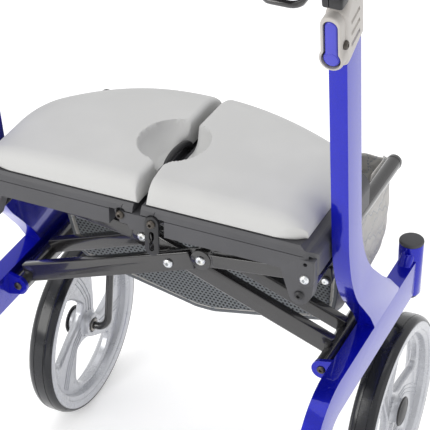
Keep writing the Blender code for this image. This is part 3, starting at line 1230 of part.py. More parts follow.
def build_fold():
    """The crossed arms, links, rails, seat and bag."""
    cross_arm(-1)
    cross_arm(1)
    centre_bolt()
    for side in (1, -1):
        name = side_name(side)
        knee = spot(side * KNEE_X, ARM_NEAR_Y, KNEE_Z)
        hinge_group(f"rail_{name}_body", knee, [seat_rail(side), rail_clip(side), tray_bolt(side)])
        knee_bolt(side)
        hinge = spot(side * RAIL_X, RAIL_NEAR_Y, RAIL_Z)
        hinge_group(f"tray_{name}_body", hinge, [seat_tray(side), seat_pad(side)])
    pins = [hinge_pin(1), hinge_pin(-1)]
    seat_pin = spot(SEAT_PIN_X, SEAT_NEAR_Y, SEAT_PIN_Z)
    hinge_group("bridge_body", seat_pin, [seat_bridge(), pull_handle()] + pins)
    fold_link()
    bag()


def main():
    clear_scene()
    for side in (1, -1):
        build_side(side)
    build_fold()
    model = bpy.data.collections.new("walking frame")
    bpy.context.scene.collection.children.link(model)
    for piece in PARTS:
        bpy.context.scene.collection.objects.unlink(piece)
        model.objects.link(piece)


main()
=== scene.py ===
"""Looks of a folding four wheeled walking frame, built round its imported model.

Sizes are in metres in the model's own frame: +X to the user's right, +Y the way it is pushed, +Z up
from the floor. Places along Y are counted from the front axle where a name says so.
"""
import logging
import math
from dataclasses import dataclass, field
from enum import Enum
from typing import Callable, Iterable, Sequence, Union

import bmesh
import bpy
from mathutils import Matrix, Vector, noise


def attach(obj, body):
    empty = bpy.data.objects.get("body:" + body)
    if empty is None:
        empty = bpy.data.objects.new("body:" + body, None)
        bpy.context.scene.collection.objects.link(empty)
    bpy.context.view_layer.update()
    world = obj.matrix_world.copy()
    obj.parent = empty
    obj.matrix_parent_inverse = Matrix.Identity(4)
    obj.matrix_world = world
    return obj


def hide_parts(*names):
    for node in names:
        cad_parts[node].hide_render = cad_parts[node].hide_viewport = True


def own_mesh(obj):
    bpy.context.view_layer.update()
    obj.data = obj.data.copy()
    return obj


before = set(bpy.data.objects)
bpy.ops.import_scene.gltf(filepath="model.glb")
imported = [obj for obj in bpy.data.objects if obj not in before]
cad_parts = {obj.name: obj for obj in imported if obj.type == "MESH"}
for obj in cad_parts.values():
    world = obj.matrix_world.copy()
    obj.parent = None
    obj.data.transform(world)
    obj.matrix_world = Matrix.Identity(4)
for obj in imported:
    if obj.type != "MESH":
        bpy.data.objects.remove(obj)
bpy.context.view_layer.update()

LOG = logging.getLogger("walking_frame")
AXLE_Y = 0.21675
Colour = tuple[float, float, float]
Pair = tuple[float, float]


class Side(Enum):
    """The two sides of the frame, as the user sees them."""

    RIGHT = 1
    LEFT = -1

    @property
    def word(self) -> str:
        """Name used in nodes and bodies."""
        return self.name.lower()


class Plane(Enum):
    """Planes that a flat outline is drawn in, as the turn that takes XY there."""

    YZ = Matrix(((0, 0, 1, 0), (1, 0, 0, 0), (0, 1, 0, 0), (0, 0, 0, 1)))
    XZ = Matrix(((1, 0, 0, 0), (0, 0, -1, 0), (0, 1, 0, 0), (0, 0, 0, 1)))
    XY = Matrix.Identity(4)


class Axle(Enum):
    """Directions that a turned shape's axis can have, as the turn that takes Z there."""

    X = Matrix.Rotation(math.pi / 2, 4, "Y")
    Y = Matrix.Rotation(-math.pi / 2, 4, "X")
    Z = Matrix.Identity(4)


def spot(x: float, y: float, z: float) -> Vector:
    """Place a point whose Y is counted from the front axle.

    Args:
        x: Place to the right.
        y: Place ahead of the front axle.
        z: Height above the floor.

    Returns:
        The point in the model's frame.
    """
    return Vector((x, AXLE_Y + y, z))


def arc(centre: Sequence[float], radius: float, start: float, end: float, count: int) -> list[Vector]:
    """Give points along a flat arc.

    Args:
        centre: Middle of the arc.
        radius: Its radius.
        start: First angle in radians.
        end: Last angle in radians.
        count: Number of points.

    Returns:
        The points in order.
    """
    angles = [start + (end - start) * i / (count - 1) for i in range(count)]
    return [Vector((centre[0] + radius * math.cos(a), centre[1] + radius * math.sin(a))) for a in angles]


def bent(points: Iterable[Sequence[float]], radius: float, count: int = 9) -> list[Vector]:
    """Round the corners of a line with arcs.

    Args:
        points: Corners of the line.
        radius: Radius of each bend.
        count: Points in each bend.

    Returns:
        The line with its bends.
    """
    corners = [Vector(p) for p in points]
    line = [corners[0]]
    for before, corner, after in zip(corners, corners[1:], corners[2:]):
        into, out = (before - corner).normalized(), (after - corner).normalized()
        half = into.angle(out) / 2
        reach = radius / math.tan(half)
        middle = corner + (into + out).normalized() * (radius / math.sin(half))
        first, last = corner + into * reach - middle, corner + out * reach - middle
        for i in range(count):
            line.append(middle + first.slerp(last, i / (count - 1)).normalized() * radius)
    return line + [corners[-1]]


def band(line: Sequence[Vector], left: Sequence[float], right: Sequence[float]) -> list[Vector]:
    """Give a flat line two edges, each at its own distance.

    Args:
        line: Points of the line.
        left: Distance to the left edge at each point.
        right: Distance to the right edge at each point.

    Returns:
        One closed outline.
    """
    near, far = [], []
    for i, point in enumerate(line):
        along = (line[min(i + 1, len(line) - 1)] - line[max(i - 1, 0)]).normalized()
        across = Vector((-along.y, along.x))
        near.append(point + across * left[i])
        far.append(point - across * right[i])
    return near + far[::-1]


def rounded_loop(corners: Sequence[Sequence[float]], count: int = 5) -> list[Vector]:
    """Draw a smooth closed line through points.

    Args:
        corners: The points, in order.
        count: Steps between two of them.

    Returns:
        Points of the line.
    """
    given = [Vector(p) for p in corners]
    made = []
    for i, here in enumerate(given):
        before, ahead, beyond = given[i - 1], given[(i + 1) % len(given)], given[(i + 2) % len(given)]
        for k in range(count):
            t = k / count
            made.append(0.5 * (2 * here + (ahead - before) * t + (2 * before - 5 * here + 4 * ahead - beyond) * t * t
                               + (3 * here - before - 3 * ahead + beyond) * t * t * t))
    return made


def smooth(share: float) -> float:
    """Ease a share from 0 to 1."""
    share = min(max(share, 0.0), 1.0)
    return share * share * (3 - 2 * share)


class Wire:
    """An output socket that takes part in sums."""

    def __init__(self, recipe: "Recipe", socket: bpy.types.NodeSocket) -> None:
        """Hold a socket of a recipe's tree."""
        self.recipe = recipe
        self.socket = socket

    def other(self, name: str) -> "Wire":
        """Give another output of the same node."""
        return Wire(self.recipe, self.socket.node.outputs[name])

    def maths(self, operation: str, *values: "Amount") -> "Wire":
        """Add a Math node.

        Args:
            operation: The node's operation.
            values: Its inputs in order.

        Returns:
            The node's result.
        """
        return self.recipe.node("ShaderNodeMath", {"operation": operation}, dict(enumerate(values)))

    def __add__(self, other: "Amount") -> "Wire":
        """Sum."""
        return self.maths("ADD", self, other)

    def __radd__(self, other: "Amount") -> "Wire":
        """Sum, the other way round."""
        return self.maths("ADD", other, self)

    def __sub__(self, other: "Amount") -> "Wire":
        """Difference."""
        return self.maths("SUBTRACT", self, other)

    def __rsub__(self, other: "Amount") -> "Wire":
        """Difference, the other way round."""
        return self.maths("SUBTRACT", other, self)

    def __mul__(self, other: "Amount") -> "Wire":
        """Product."""
        return self.maths("MULTIPLY", self, other)

    def __rmul__(self, other: "Amount") -> "Wire":
        """Product, the other way round."""
        return self.maths("MULTIPLY", other, self)

    def __truediv__(self, other: "Amount") -> "Wire":
        """Quotient."""
        return self.maths("DIVIDE", self, other)

    def __pow__(self, other: "Amount") -> "Wire":
        """Power."""
        return self.maths("POWER", self, other)

    def __gt__(self, other: "Amount") -> "Wire":
        """One where this is greater."""
        return self.maths("GREATER_THAN", self, other)

    def sine(self) -> "Wire":
        """Sine of an angle in radians."""
        return self.maths("SINE", self)

    def size(self) -> "Wire":
        """Value without its sign."""
        return self.maths("ABSOLUTE", self)

    def part(self) -> "Wire":
        """What is left after the whole number."""
        return self.maths("FRACT", self)

    def rise(self, low: float, high: float) -> "Wire":
        """Ease from 0 at one value to 1 at another.

        Args:
            low: Value where the result is 0.
            high: Value where the result is 1.

        Returns:
            The eased value.
        """
        settings = {"interpolation_type": "SMOOTHSTEP"}
        return self.recipe.node("ShaderNodeMapRange", settings, {0: self, 1: low, 2: high, 3: 0.0, 4: 1.0})


Amount = Union[Wire, float]


class Recipe:
    """The node tree of one material."""

    def __init__(self, name: str) -> None:
        """Start a material with its Principled shader."""
        self.material = bpy.data.materials.new(name)
        self.material.use_nodes = True
        self.tree = self.material.node_tree
        self.shader = self.tree.nodes["Principled BSDF"]

    def node(self, kind: str, settings: dict | None = None, values: dict | None = None,
             stops: Sequence[tuple[float, Colour]] = (), out: int | str = 0) -> Wire:
        """Add a node.

        Args:
            kind: The node's type.
            settings: Its own settings, set first.
            values: Numbers, colours or wires for its sockets.
            stops: Places and colours of a ramp.
            out: The output that is wanted.

        Returns:
            That output.
        """
        made = self.tree.nodes.new(kind)
        for name, value in (settings or {}).items():
            setattr(made, name, value)
        for i, (place, colour) in enumerate(stops):
            marks = made.color_ramp.elements
            mark = marks[0] if i == 0 else marks.new(place) if i < len(stops) - 1 else marks[-1]
            mark.position = place
            mark.color = (*colour, 1)
        for name, value in (values or {}).items():
            if isinstance(value, Wire):
                self.tree.links.new(value.socket, made.inputs[name])
            else:
                made.inputs[name].default_value = value
        return Wire(self, made.outputs[out])

    def place(self) -> Wire:
        """Object coordinates, which are the model's own frame."""
        return self.node("ShaderNodeTexCoord", out="Object")

    def spread(self) -> tuple[Wire, Wire, Wire]:
        """The piece's own UV map, laid out in metres: the pair, then each of its two values."""
        where = self.node("ShaderNodeTexCoord", out="UV")
        split = self.node("ShaderNodeSeparateXYZ", None, {0: where})
        return where, split, split.other("Y")

    def cloud(self, where: Wire, size: float, detail: float = 3.0, rough: float = 0.55) -> Wire:
        """Noise with blotches of a size.

        Args:
            where: Coordinates.
            size: Width of a blotch in metres.
            detail: Finer levels.
            rough: How much the finer levels count.

        Returns:
            A value about 0.5.
        """
        values = {"Vector": where, "Scale": 1 / size, "Detail": detail, "Roughness": rough}
        return self.node("ShaderNodeTexNoise", None, values)

    def mix(self, share: Amount, first: Union[Wire, Colour], second: Union[Wire, Colour]) -> Wire:
        """Blend two colours.

        Args:
            share: How much of the second colour.
            first: First colour.
            second: Second colour.

        Returns:
            The blended colour.
        """
        ends = [c if isinstance(c, Wire) else (*c, 1.0) for c in (first, second)]
        return self.node("ShaderNodeMix", {"data_type": "RGBA"}, {0: share, 6: ends[0], 7: ends[1]}, out=2)

    def relief(self, height: Wire, depth: float, base: Wire | None = None) -> Wire:
        """Turn a height between 0 and 1 into a bumped normal.

        Args:
            height: The height.
            depth: Metres from low to high.
            base: A normal to build on.

        Returns:
            The normal.
        """
        values: dict = {"Height": height, "Distance": depth, "Strength": 1.0}
        if base:
            values["Normal"] = base
        return self.node("ShaderNodeBump", None, values)

    def feed(self, **sockets: Union[Wire, float, Sequence[float]]) -> None:
        """Set sockets of the shader; a name's underscores stand for spaces."""
        for word, value in sockets.items():
            socket = self.shader.inputs[word.replace("_", " ")]
            if isinstance(value, Wire):
                self.tree.links.new(value.socket, socket)
            else:
                socket.default_value = value


@dataclass(frozen=True)
class Finish:
    """A moulded, cast or coated surface with grain, soft mottling and a little handling wear."""

    name: str
    slot: str
    colour: Colour
    roughness: float = 0.5
    metallic: float = 0.0
    coat: float = 0.0
    grain: float = 0.0009
    depth: float = 0.00004
    mottle: float = 0.10
    wear: float = 0.08
    pale: Colour = (0.5, 0.5, 0.5)

    def material(self) -> bpy.types.Material:
        """Build the material once and give it out again afterwards."""
        known = bpy.data.materials.get(self.name)
        if known:
            return known
        recipe = Recipe(self.name)
        self.dress(recipe)
        return recipe.material

    def dress(self, recipe: Recipe) -> None:
        """Wire the material's nodes."""
        where = recipe.place()
        blotch = recipe.cloud(where, 0.045)
        fine = recipe.cloud(where, self.grain, 2.0)
        scuff = recipe.cloud(where, 0.012, 6.0, 0.7).rise(0.60, 0.78)
        dark = tuple(c * (1 - self.mottle) for c in self.colour)
        light = tuple(min(1.0, c * (1 + self.mottle)) for c in self.colour)
        tone = recipe.mix(blotch.rise(0.3, 0.7), dark, light)
        tone = recipe.mix(scuff * self.wear, tone, self.pale)
        rough = blotch * 0.12 + fine * 0.08 + scuff * 0.14 + (self.roughness - 0.12)
        recipe.feed(Base_Color=tone, Roughness=rough, Metallic=self.metallic,
                    Coat_Weight=self.coat, Coat_Roughness=0.06, Normal=recipe.relief(fine, self.depth))


@dataclass(frozen=True)
class CandyPaint(Finish):
    """Clear coated metallic paint with fine flakes and faint orange peel."""

    flake: float = 0.0005

    def dress(self, recipe: Recipe) -> None:
        """Wire the paint."""
        where = recipe.place()
        cells = recipe.node("ShaderNodeTexVoronoi", None, {"Vector": where, "Scale": 1 / self.flake}, out="Color")
        sparkle = recipe.node("ShaderNodeSeparateColor", None, {0: cells})
        blotch = recipe.cloud(where, 0.08)
        deep = tuple(c * 0.75 for c in self.colour)
        lit = tuple(min(1.0, c * 1.30 + 0.004) for c in self.colour)
        tone = recipe.mix(sparkle * 0.5 + blotch * 0.5, deep, lit)
        peel = recipe.cloud(where, 0.004, 1.0)
        recipe.feed(Base_Color=tone, Metallic=self.metallic, Roughness=sparkle * 0.08 + (self.roughness - 0.04),
                    Coat_Weight=self.coat, Coat_Roughness=0.03, Specular_IOR_Level=0.1,
                    Normal=recipe.relief(peel, self.depth))


@dataclass(frozen=True)
class TurnedMetal(Finish):
    """Plated or machined steel with fine lathe lines and a yellow cast in places."""

    def dress(self, recipe: Recipe) -> None:
        """Wire the metal."""
        where = recipe.place()
        lines = recipe.cloud(where, 0.0006, 4.0, 0.7)
        blotch = recipe.cloud(where, 0.006)
        warm = (self.colour[0], self.colour[1] * 0.93, self.colour[2] * 0.78)
        tone = recipe.mix(blotch.rise(0.45, 0.7) * 0.5, self.colour, warm)
        recipe.feed(Base_Color=tone, Metallic=self.metallic, Roughness=lines * 0.25 + (self.roughness - 0.12),
                    Normal=recipe.relief(lines, self.depth))


@dataclass(frozen=True)
class TyreRubber(Finish):
    """Solid rubber with moulding lines, dull dust and a few polished streaks."""

    def dress(self, recipe: Recipe) -> None:
        """Wire the rubber."""
        where = recipe.place()
        dust = recipe.cloud(where, 0.02, 5.0, 0.65).rise(0.5, 0.75)
        fine = recipe.cloud(where, 0.0007, 2.0)
        streak = recipe.cloud(where, 0.006, 3.0)
        tone = recipe.mix(dust * 0.35, self.colour, self.pale)
        recipe.feed(Base_Color=tone, Roughness=dust * 0.22 + streak * 0.14 + (self.roughness - 0.15),
                    Normal=recipe.relief(fine * 0.5 + streak * 0.5, self.depth))


@dataclass(frozen=True)
class FoamSkin(Finish):
    """Moulded foam with a fine matte skin and faint cloudy shading."""

    def dress(self, recipe: Recipe) -> None:
        """Wire the foam's skin."""
        where = recipe.place()
        cloud = recipe.cloud(where, 0.09, 2.0)
        pores = recipe.node("ShaderNodeTexVoronoi", None, {"Vector": where, "Scale": 1 / self.grain})
        fine = recipe.cloud(where, 0.0012, 3.0)
        dull = tuple(c * 0.95 for c in self.colour)
        tone = recipe.mix(cloud.rise(0.35, 0.65), dull, self.colour)
        tone = recipe.mix(recipe.cloud(where, 0.02, 5.0, 0.7).rise(0.62, 0.8) * 0.12, tone, self.pale)
        recipe.feed(Base_Color=tone, Roughness=fine * 0.14 + (self.roughness - 0.07), Sheen_Weight=0.12,
                    Normal=recipe.relief(pores * 0.5 + fine * 0.5, self.depth))


@dataclass(frozen=True)
class QuiltCloth(Finish):
    """Woven cloth quilted in wavy diamonds with thread of a second colour."""

    thread: Colour = (0.25, 0.31, 0.38)
    repeat: float = 0.034
    weave: float = 0.0011

    def dress(self, recipe: Recipe) -> None:
        """Wire the quilted cloth on the piece's own UV map."""
        where, u, v = recipe.spread()
        sway = (v * (math.tau / 0.021)).sine() * 0.0022
        first = ((u + v * 0.42 + sway) / self.repeat).part() - 0.5
        second = ((u - v * 0.42 + sway) / self.repeat).part() - 0.5
        near = first.size().maths("MINIMUM", first.size(), second.size())
        stitch = 1 - near.rise(0.010, 0.036)
        dashes = ((v * (math.tau / 0.0042)).sine() > -0.35)
        warp = (u * (math.tau / self.weave)).sine() * (v * (math.tau / self.weave)).sine()
        cloud = recipe.cloud(where, 0.03, 4.0)
        tone = recipe.mix(cloud.rise(0.3, 0.7), tuple(c * 0.9 for c in self.colour), self.colour)
        tone = recipe.mix(warp * 0.10 + 0.10, tone, tuple(c * 0.6 for c in self.colour))
        tone = recipe.mix(stitch * dashes * 0.75, tone, self.thread)
        puff = near.rise(0.0, 0.25)
        normal = recipe.relief(warp * 0.5 + 0.5, 0.00012)
        recipe.feed(Base_Color=tone, Roughness=warp * 0.06 + self.roughness, Sheen_Weight=0.25,
                    Normal=recipe.relief(puff, 0.0016, normal))


@dataclass(frozen=True)
class NetCloth(Finish):
    """Coarse knitted net: pale cords round holes painted near black as painted shade, set in offset rows."""

    pitch: float = 0.0042

    def dress(self, recipe: Recipe) -> None:
        """Wire the net on the piece's own UV map."""
        where, u, v = recipe.spread()
        wide, high = self.pitch * 1.25, self.pitch
        row = (v / high).maths("FLOOR", v / high)
        across = ((u / wide + row * 0.5).part() - 0.5) * 1.1
        along = (v / high).part() - 0.5
        reach = (across * across + along * along) ** 0.5
        cord = reach.rise(0.26, 0.38)
        fibre = recipe.cloud(where, 0.0006, 2.0)
        pale = recipe.mix(fibre, tuple(c * 0.72 for c in self.colour), self.colour)
        # The holes are painted near black: painted shade of the bag's inside seen through the net.
        tone = recipe.mix(cord, (0.006, 0.006, 0.007), pale)
        recipe.feed(Base_Color=tone, Roughness=fibre * 0.2 + (self.roughness - 0.1),
                    Normal=recipe.relief(cord * 0.8 + fibre * 0.2, 0.0007))


@dataclass(frozen=True)
class Tape(Finish):
    """Woven binding tape with ribs across it and a row of stitches."""

    def dress(self, recipe: Recipe) -> None:
        """Wire the tape on the piece's own UV map."""
        where, u, v = recipe.spread()
        ribs = (v * (math.tau / 0.0016)).sine() * 0.5 + 0.5
        seam = 1 - ((u - 0.004).size()).rise(0.0002, 0.0007)
        dash = (v * (math.tau / 0.004)).sine() > -0.2
        tone = recipe.mix(ribs * 0.35, self.colour, tuple(c * 0.75 for c in self.colour))
        tone = recipe.mix(seam * dash * 0.5, tone, self.pale)
        recipe.feed(Base_Color=tone, Roughness=ribs * 0.1 + (self.roughness - 0.05),
                    Normal=recipe.relief(ribs, 0.00025))


BLUE = CandyPaint("candy_blue", "frame_blue", (0.003, 0.006, 0.40), 0.22, 0.50, 0.75, depth=0.00003)
ARM_BLACK = Finish("gloss_black_coat", "arm_black", (0.024, 0.023, 0.024), 0.24, 0.25, 0.9, 0.002, 0.00003, 0.06, 0.03)
CHARCOAL = Finish("charcoal_moulding", "tray_charcoal", (0.060, 0.060, 0.066), 0.46, grain=0.0007, depth=0.00008,
                  mottle=0.08, wear=0.05)
BLACK = Finish("black_moulding", "small_black", (0.016, 0.016, 0.018), 0.42, grain=0.0006, depth=0.00006, wear=0.05)
CAP_GREY = Finish("cap_moulding", "small_black", (0.05, 0.05, 0.055), 0.55, grain=0.0006, depth=0.00008)
TYRE = TyreRubber("tyre_rubber", "tyre_black", (0.012, 0.013, 0.016), 0.26, depth=0.00002, pale=(0.020, 0.020, 0.024))
SILVER = Finish("silver_wheel", "wheel_silver", (0.49, 0.50, 0.53), 0.30, 0.45, 0.3, 0.0008, 0.00002, 0.02, 0.02)
ZINC = TurnedMetal("zinc_plate", "bolt_zinc", (0.72, 0.74, 0.76), 0.28, 0.95, depth=0.00004)
BRONZE = TurnedMetal("dark_screw", "bolt_zinc", (0.090, 0.080, 0.070), 0.38, 0.8, depth=0.00004)
STEEL = TurnedMetal("axle_steel", "bolt_zinc", (0.26, 0.25, 0.24), 0.35, 0.9, depth=0.00004)
FOAM = FoamSkin("pad_skin", "pad_grey", (0.52, 0.52, 0.515), 0.58, grain=0.0016, depth=0.00009, pale=(0.42, 0.42, 0.41))
QUILT = QuiltCloth("quilted_cloth", "bag_cloth", (0.56, 0.545, 0.52), 0.85, thread=(0.19, 0.24, 0.31))
NET = NetCloth("net_cloth", "bag_cloth", (0.18, 0.195, 0.205), 0.75)
TAPE = Tape("binding_tape", "bag_cloth", (0.14, 0.15, 0.16), 0.8, pale=(0.20, 0.22, 0.24))
CASING = Finish("casing_moulding", "casing_grey", (0.47, 0.445, 0.42), 0.42, grain=0.0008, depth=0.00006, mottle=0.05)
LEVER = Finish("lever_moulding", "lever_blue", (0.041, 0.043, 0.50), 0.32, coat=0.35, grain=0.001, depth=0.00003,
               mottle=0.06)
TUBE = TurnedMetal("satin_tube", "tube_silver", (0.55, 0.56, 0.58), 0.30, 0.85, depth=0.00002)
GRIP = Finish("grip_rubber", "grip_rubber", (0.014, 0.014, 0.016), 0.62, grain=0.0005, depth=0.00010, wear=0.04)


class Solid:
    """A mesh under construction."""

    def __init__(self) -> None:
        """Start empty."""
        self.mesh = bmesh.new()

    @classmethod
    def turned(cls, profile: Sequence[Pair], axle: Axle, centre: Sequence[float], steps: int = 64,
               ring: bool = False) -> "Solid":
        """Turn a profile about an axis.

        Args:
            profile: Radius and height of each point.
            axle: Direction of the axis.
            centre: A point on the axis that heights count from.
            steps: Steps in the full turn.
            ring: True joins the profile's last point to its first.

        Returns:
            The closed solid.
        """
        made = cls()
        verts = [made.mesh.verts.new((radius, 0, height)) for radius, height in profile]
        pairs = list(zip(verts, verts[1:])) + ([(verts[-1], verts[0])] if ring else [])
        edges = [made.mesh.edges.new(pair) for pair in pairs]
        bmesh.ops.spin(made.mesh, geom=verts + edges, cent=(0, 0, 0), axis=(0, 0, 1), angle=math.tau,
                       steps=steps, use_merge=True)
        made.weld()
        return made.move(Matrix.Translation(Vector(centre)) @ axle.value).outward()

    @classmethod
    def prism(cls, outline: Sequence[Vector], thickness: float, plane: Plane, middle: float) -> "Solid":
        """Thicken a flat outline.

        Args:
            outline: Points of the outline.
            thickness: Its thickness.
            plane: Plane that it is drawn in.
            middle: Place of the middle along the axis square to the plane.

        Returns:
            The solid.
        """
        made = cls()
        face = made.mesh.faces.new([made.mesh.verts.new((p[0], p[1], -thickness / 2)) for p in outline])
        grown = bmesh.ops.extrude_face_region(made.mesh, geom=[face])
        moved = [g for g in grown["geom"] if isinstance(g, bmesh.types.BMVert)]
        bmesh.ops.translate(made.mesh, vec=(0, 0, thickness), verts=moved)
        depth = -middle if plane is Plane.XZ else middle
        return made.move(plane.value @ Matrix.Translation((0, 0, depth))).outward()

    @classmethod
    def cylinder(cls, radius: float, start: Sequence[float], end: Sequence[float], sides: int = 40,
                 top: float | None = None) -> "Solid":
        """Make a cylinder or cone between two points.

        Args:
            radius: Radius at the start.
            start: Middle of one end.
            end: Middle of the other end.
            sides: Faces round it.
            top: Radius at the end, if it differs.

        Returns:
            The solid.
        """
        made = cls()
        first, last = Vector(start), Vector(end)
        along = last - first
        bmesh.ops.create_cone(made.mesh, cap_ends=True, segments=sides, radius1=radius,
                              radius2=radius if top is None else top, depth=along.length)
        turn = Vector((0, 0, 1)).rotation_difference(along.normalized()).to_matrix().to_4x4()
        return made.move(Matrix.Translation((first + last) / 2) @ turn)

    @classmethod
    def block(cls, low: Sequence[float], high: Sequence[float]) -> "Solid":
        """Make a box between two corners."""
        made = cls()
        bmesh.ops.create_cube(made.mesh, size=1)
        first, last = Vector(low), Vector(high)
        bmesh.ops.scale(made.mesh, vec=last - first, verts=made.mesh.verts)
        bmesh.ops.translate(made.mesh, vec=(first + last) / 2, verts=made.mesh.verts)
        return made

    @classmethod
    def swept(cls, section: Sequence[Pair], path: Sequence[Vector], up: Sequence[float],
              scales: Sequence[Pair] | None = None) -> "Solid":
        """Pull a section along a path by extruding it a step at a time.

        Args:
            section: Outline square to the path: across, then up.
            path: Points of the path.
            up: Direction that stays as near to the section's second axis as it can.
            scales: Size of the section at each point, across and up.

        Returns:
            The solid with flat ends.
        """
        made = cls()
        frames = []
        for i, point in enumerate(path):
            along = (path[min(i + 1, len(path) - 1)] - path[max(i - 1, 0)]).normalized()
            across = along.cross(Vector(up)).normalized()
            rise = across.cross(along)
            wide, high = scales[i] if scales else (1.0, 1.0)
            columns = (across * wide, rise * high, along, Vector(point))
            frames.append(Matrix([[c[k] for c in columns] for k in range(3)] + [[0, 0, 0, 1]]))
        face = made.mesh.faces.new([made.mesh.verts.new((*p, 0)) for p in section])
        bmesh.ops.transform(made.mesh, matrix=frames[0], verts=face.verts)
        bmesh.ops.duplicate(made.mesh, geom=[face])
        for before, after in zip(frames, frames[1:]):
            grown = bmesh.ops.extrude_face_region(made.mesh, geom=[face])
            new = [g for g in grown["geom"] if isinstance(g, bmesh.types.BMFace)][0]
            if face.is_valid:
                bmesh.ops.delete(made.mesh, geom=[face], context="FACES_ONLY")
            bmesh.ops.transform(made.mesh, matrix=after @ before.inverted(), verts=new.verts)
            face = new
        made.weld()
        return made.outward()

    def weld(self, reach: float = 0.000002) -> "Solid":
        """Merge vertices that lie together."""
        bmesh.ops.remove_doubles(self.mesh, verts=self.mesh.verts, dist=reach)
        return self

    def flat(self) -> "Solid":
        """Merge faces that lie in one plane."""
        bmesh.ops.dissolve_limit(self.mesh, angle_limit=math.radians(0.3), verts=self.mesh.verts, edges=self.mesh.edges)
        return self

    def outward(self) -> "Solid":
        """Make every face point outwards."""
        bmesh.ops.recalc_face_normals(self.mesh, faces=self.mesh.faces)
        return self

    def move(self, matrix: Matrix) -> "Solid":
        """Transform the whole mesh."""
        bmesh.ops.transform(self.mesh, matrix=matrix, verts=self.mesh.verts)
        return self

    def shape(self, rule: Callable[[Vector], Vector]) -> "Solid":
        """Move every vertex by a rule."""
        for vert in self.mesh.verts:
            vert.co = rule(vert.co)
        return self

    def rounded(self, width: float, segments: int = 3, angle: float = 35.0,
                where: Callable[[bmesh.types.BMEdge], bool] = lambda edge: True) -> "Solid":
        """Round edges.

        Args:
            width: Width of the rounding.
            segments: Faces across it.
            angle: Least turn in degrees of an edge that is rounded.
            where: Test that an edge has to pass.

        Returns:
            This solid.
        """
        limit = math.radians(angle)
        picked = [e for e in self.mesh.edges if len(e.link_faces) == 2 and e.calc_face_angle(0) > limit and where(e)]
        bmesh.ops.bevel(self.mesh, geom=picked, offset=width, offset_type="OFFSET", segments=segments, profile=0.5,
                        affect="EDGES", clamp_overlap=True, material=-1)
        return self

    def with_tools(self, operation: str, tools: Sequence["Solid"]) -> "Solid":
        """Join or cut with other solids.

        Args:
            operation: UNION, DIFFERENCE or INTERSECT.
            tools: The other solids, which are used up.

        Returns:
            This solid, changed.
        """
        for tool in tools:
            base, other = self.raw("base"), tool.raw("tool")
            step = base.modifiers.new("step", "BOOLEAN")
            step.operation = operation
            step.solver = "EXACT"
            step.object = other
            self.mesh = bmesh.new()
            self.take(base)
            for old in (base, other):
                bpy.data.objects.remove(old, do_unlink=True)
            self.weld()
        return self

    def plus(self, *tools: "Solid") -> "Solid":
        """Join other solids to this one."""
        return self.with_tools("UNION", tools)

    def minus(self, *tools: "Solid") -> "Solid":
        """Cut other solids out of this one."""
        return self.with_tools("DIFFERENCE", tools)

    def beside(self, *others: "Solid") -> "Solid":
        """Add separate shells to this one."""
        for other in others:
            mesh = bpy.data.meshes.new("shell")
            other.mesh.to_mesh(mesh)
            other.mesh.free()
            self.mesh.from_mesh(mesh)
            bpy.data.meshes.remove(mesh)
        return self

    def raw(self, name: str) -> bpy.types.Object:
        """Turn the mesh into a linked object."""
        mesh = bpy.data.meshes.new(name)
        self.mesh.to_mesh(mesh)
        self.mesh.free()
        made = bpy.data.objects.new(name, mesh)
        bpy.context.scene.collection.objects.link(made)
        return made

    def take(self, source: bpy.types.Object) -> "Solid":
        """Read an object's mesh with its modifiers."""
        bpy.context.view_layer.update()
        graph = bpy.context.evaluated_depsgraph_get()
        mesh = bpy.data.meshes.new_from_object(source.evaluated_get(graph))
        self.mesh.from_mesh(mesh)
        bpy.data.meshes.remove(mesh)
        return self

    def ready(self, name: str, finish: Finish, body: str, stands_for: Sequence[str] = (),
              sharp: float = 38.0) -> bpy.types.Object:
        """Finish a piece and hand it to the frame.

        Args:
            name: The piece's name.
            finish: Its finish.
            body: The body that it rides on.
            stands_for: Nodes that it replaces.
            sharp: Least angle in degrees that stays a hard edge.

        Returns:
            The object.
        """
        made = self.raw(name)
        made.name = made.data.name = name
        made.data.materials.clear()
        made.data.materials.append(finish.material())
        made.data.shade_smooth()
        made.data.set_sharp_from_angle(angle=math.radians(sharp))
        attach(made, body)
        if stands_for:
            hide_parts(*stands_for)
        LOG.info("%s on %s, %d faces", name, body, len(made.data.polygons))
        return made


def cad_copy(node: str) -> Solid:
    """Copy a node's mesh, weld it and merge its flat faces.

    Args:
        node: Name of the node.

    Returns:
        The copy.
    """
    made = Solid()
    made.mesh.from_mesh(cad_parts[node].data)
    return made.weld(0.000001).flat()


def soften(piece: bpy.types.Object, width: float, segments: int, angle: float) -> None:
    """Round a piece's hard edges with a modifier.

    Args:
        piece: The piece.
        width: Width of the rounding.
        segments: Faces across it.
        angle: Least turn in degrees of an edge that is rounded.
    """
    edge = piece.modifiers.new("Soft edges", "BEVEL")
    edge.width = width
    edge.segments = segments
    edge.limit_method = "ANGLE"
    edge.angle_limit = math.radians(angle)
    edge.use_clamp_overlap = True


def redress(node: str, finish: Finish, body: str, width: float = 0.0005, segments: int = 2,
            sharp: float = 35.0) -> bpy.types.Object:
    """Replace a node by a copy with softened edges.

    Args:
        node: Name of the node.
        finish: The copy's finish.
        body: Body that it rides on.
        width: Width of the softening.
        segments: Faces across it.
        sharp: Least angle that stays hard.

    Returns:
        The object.
    """
    made = cad_copy(node).ready(f"{node}_look", finish, body, [node], sharp)
    soften(made, width, segments, sharp)
    return made


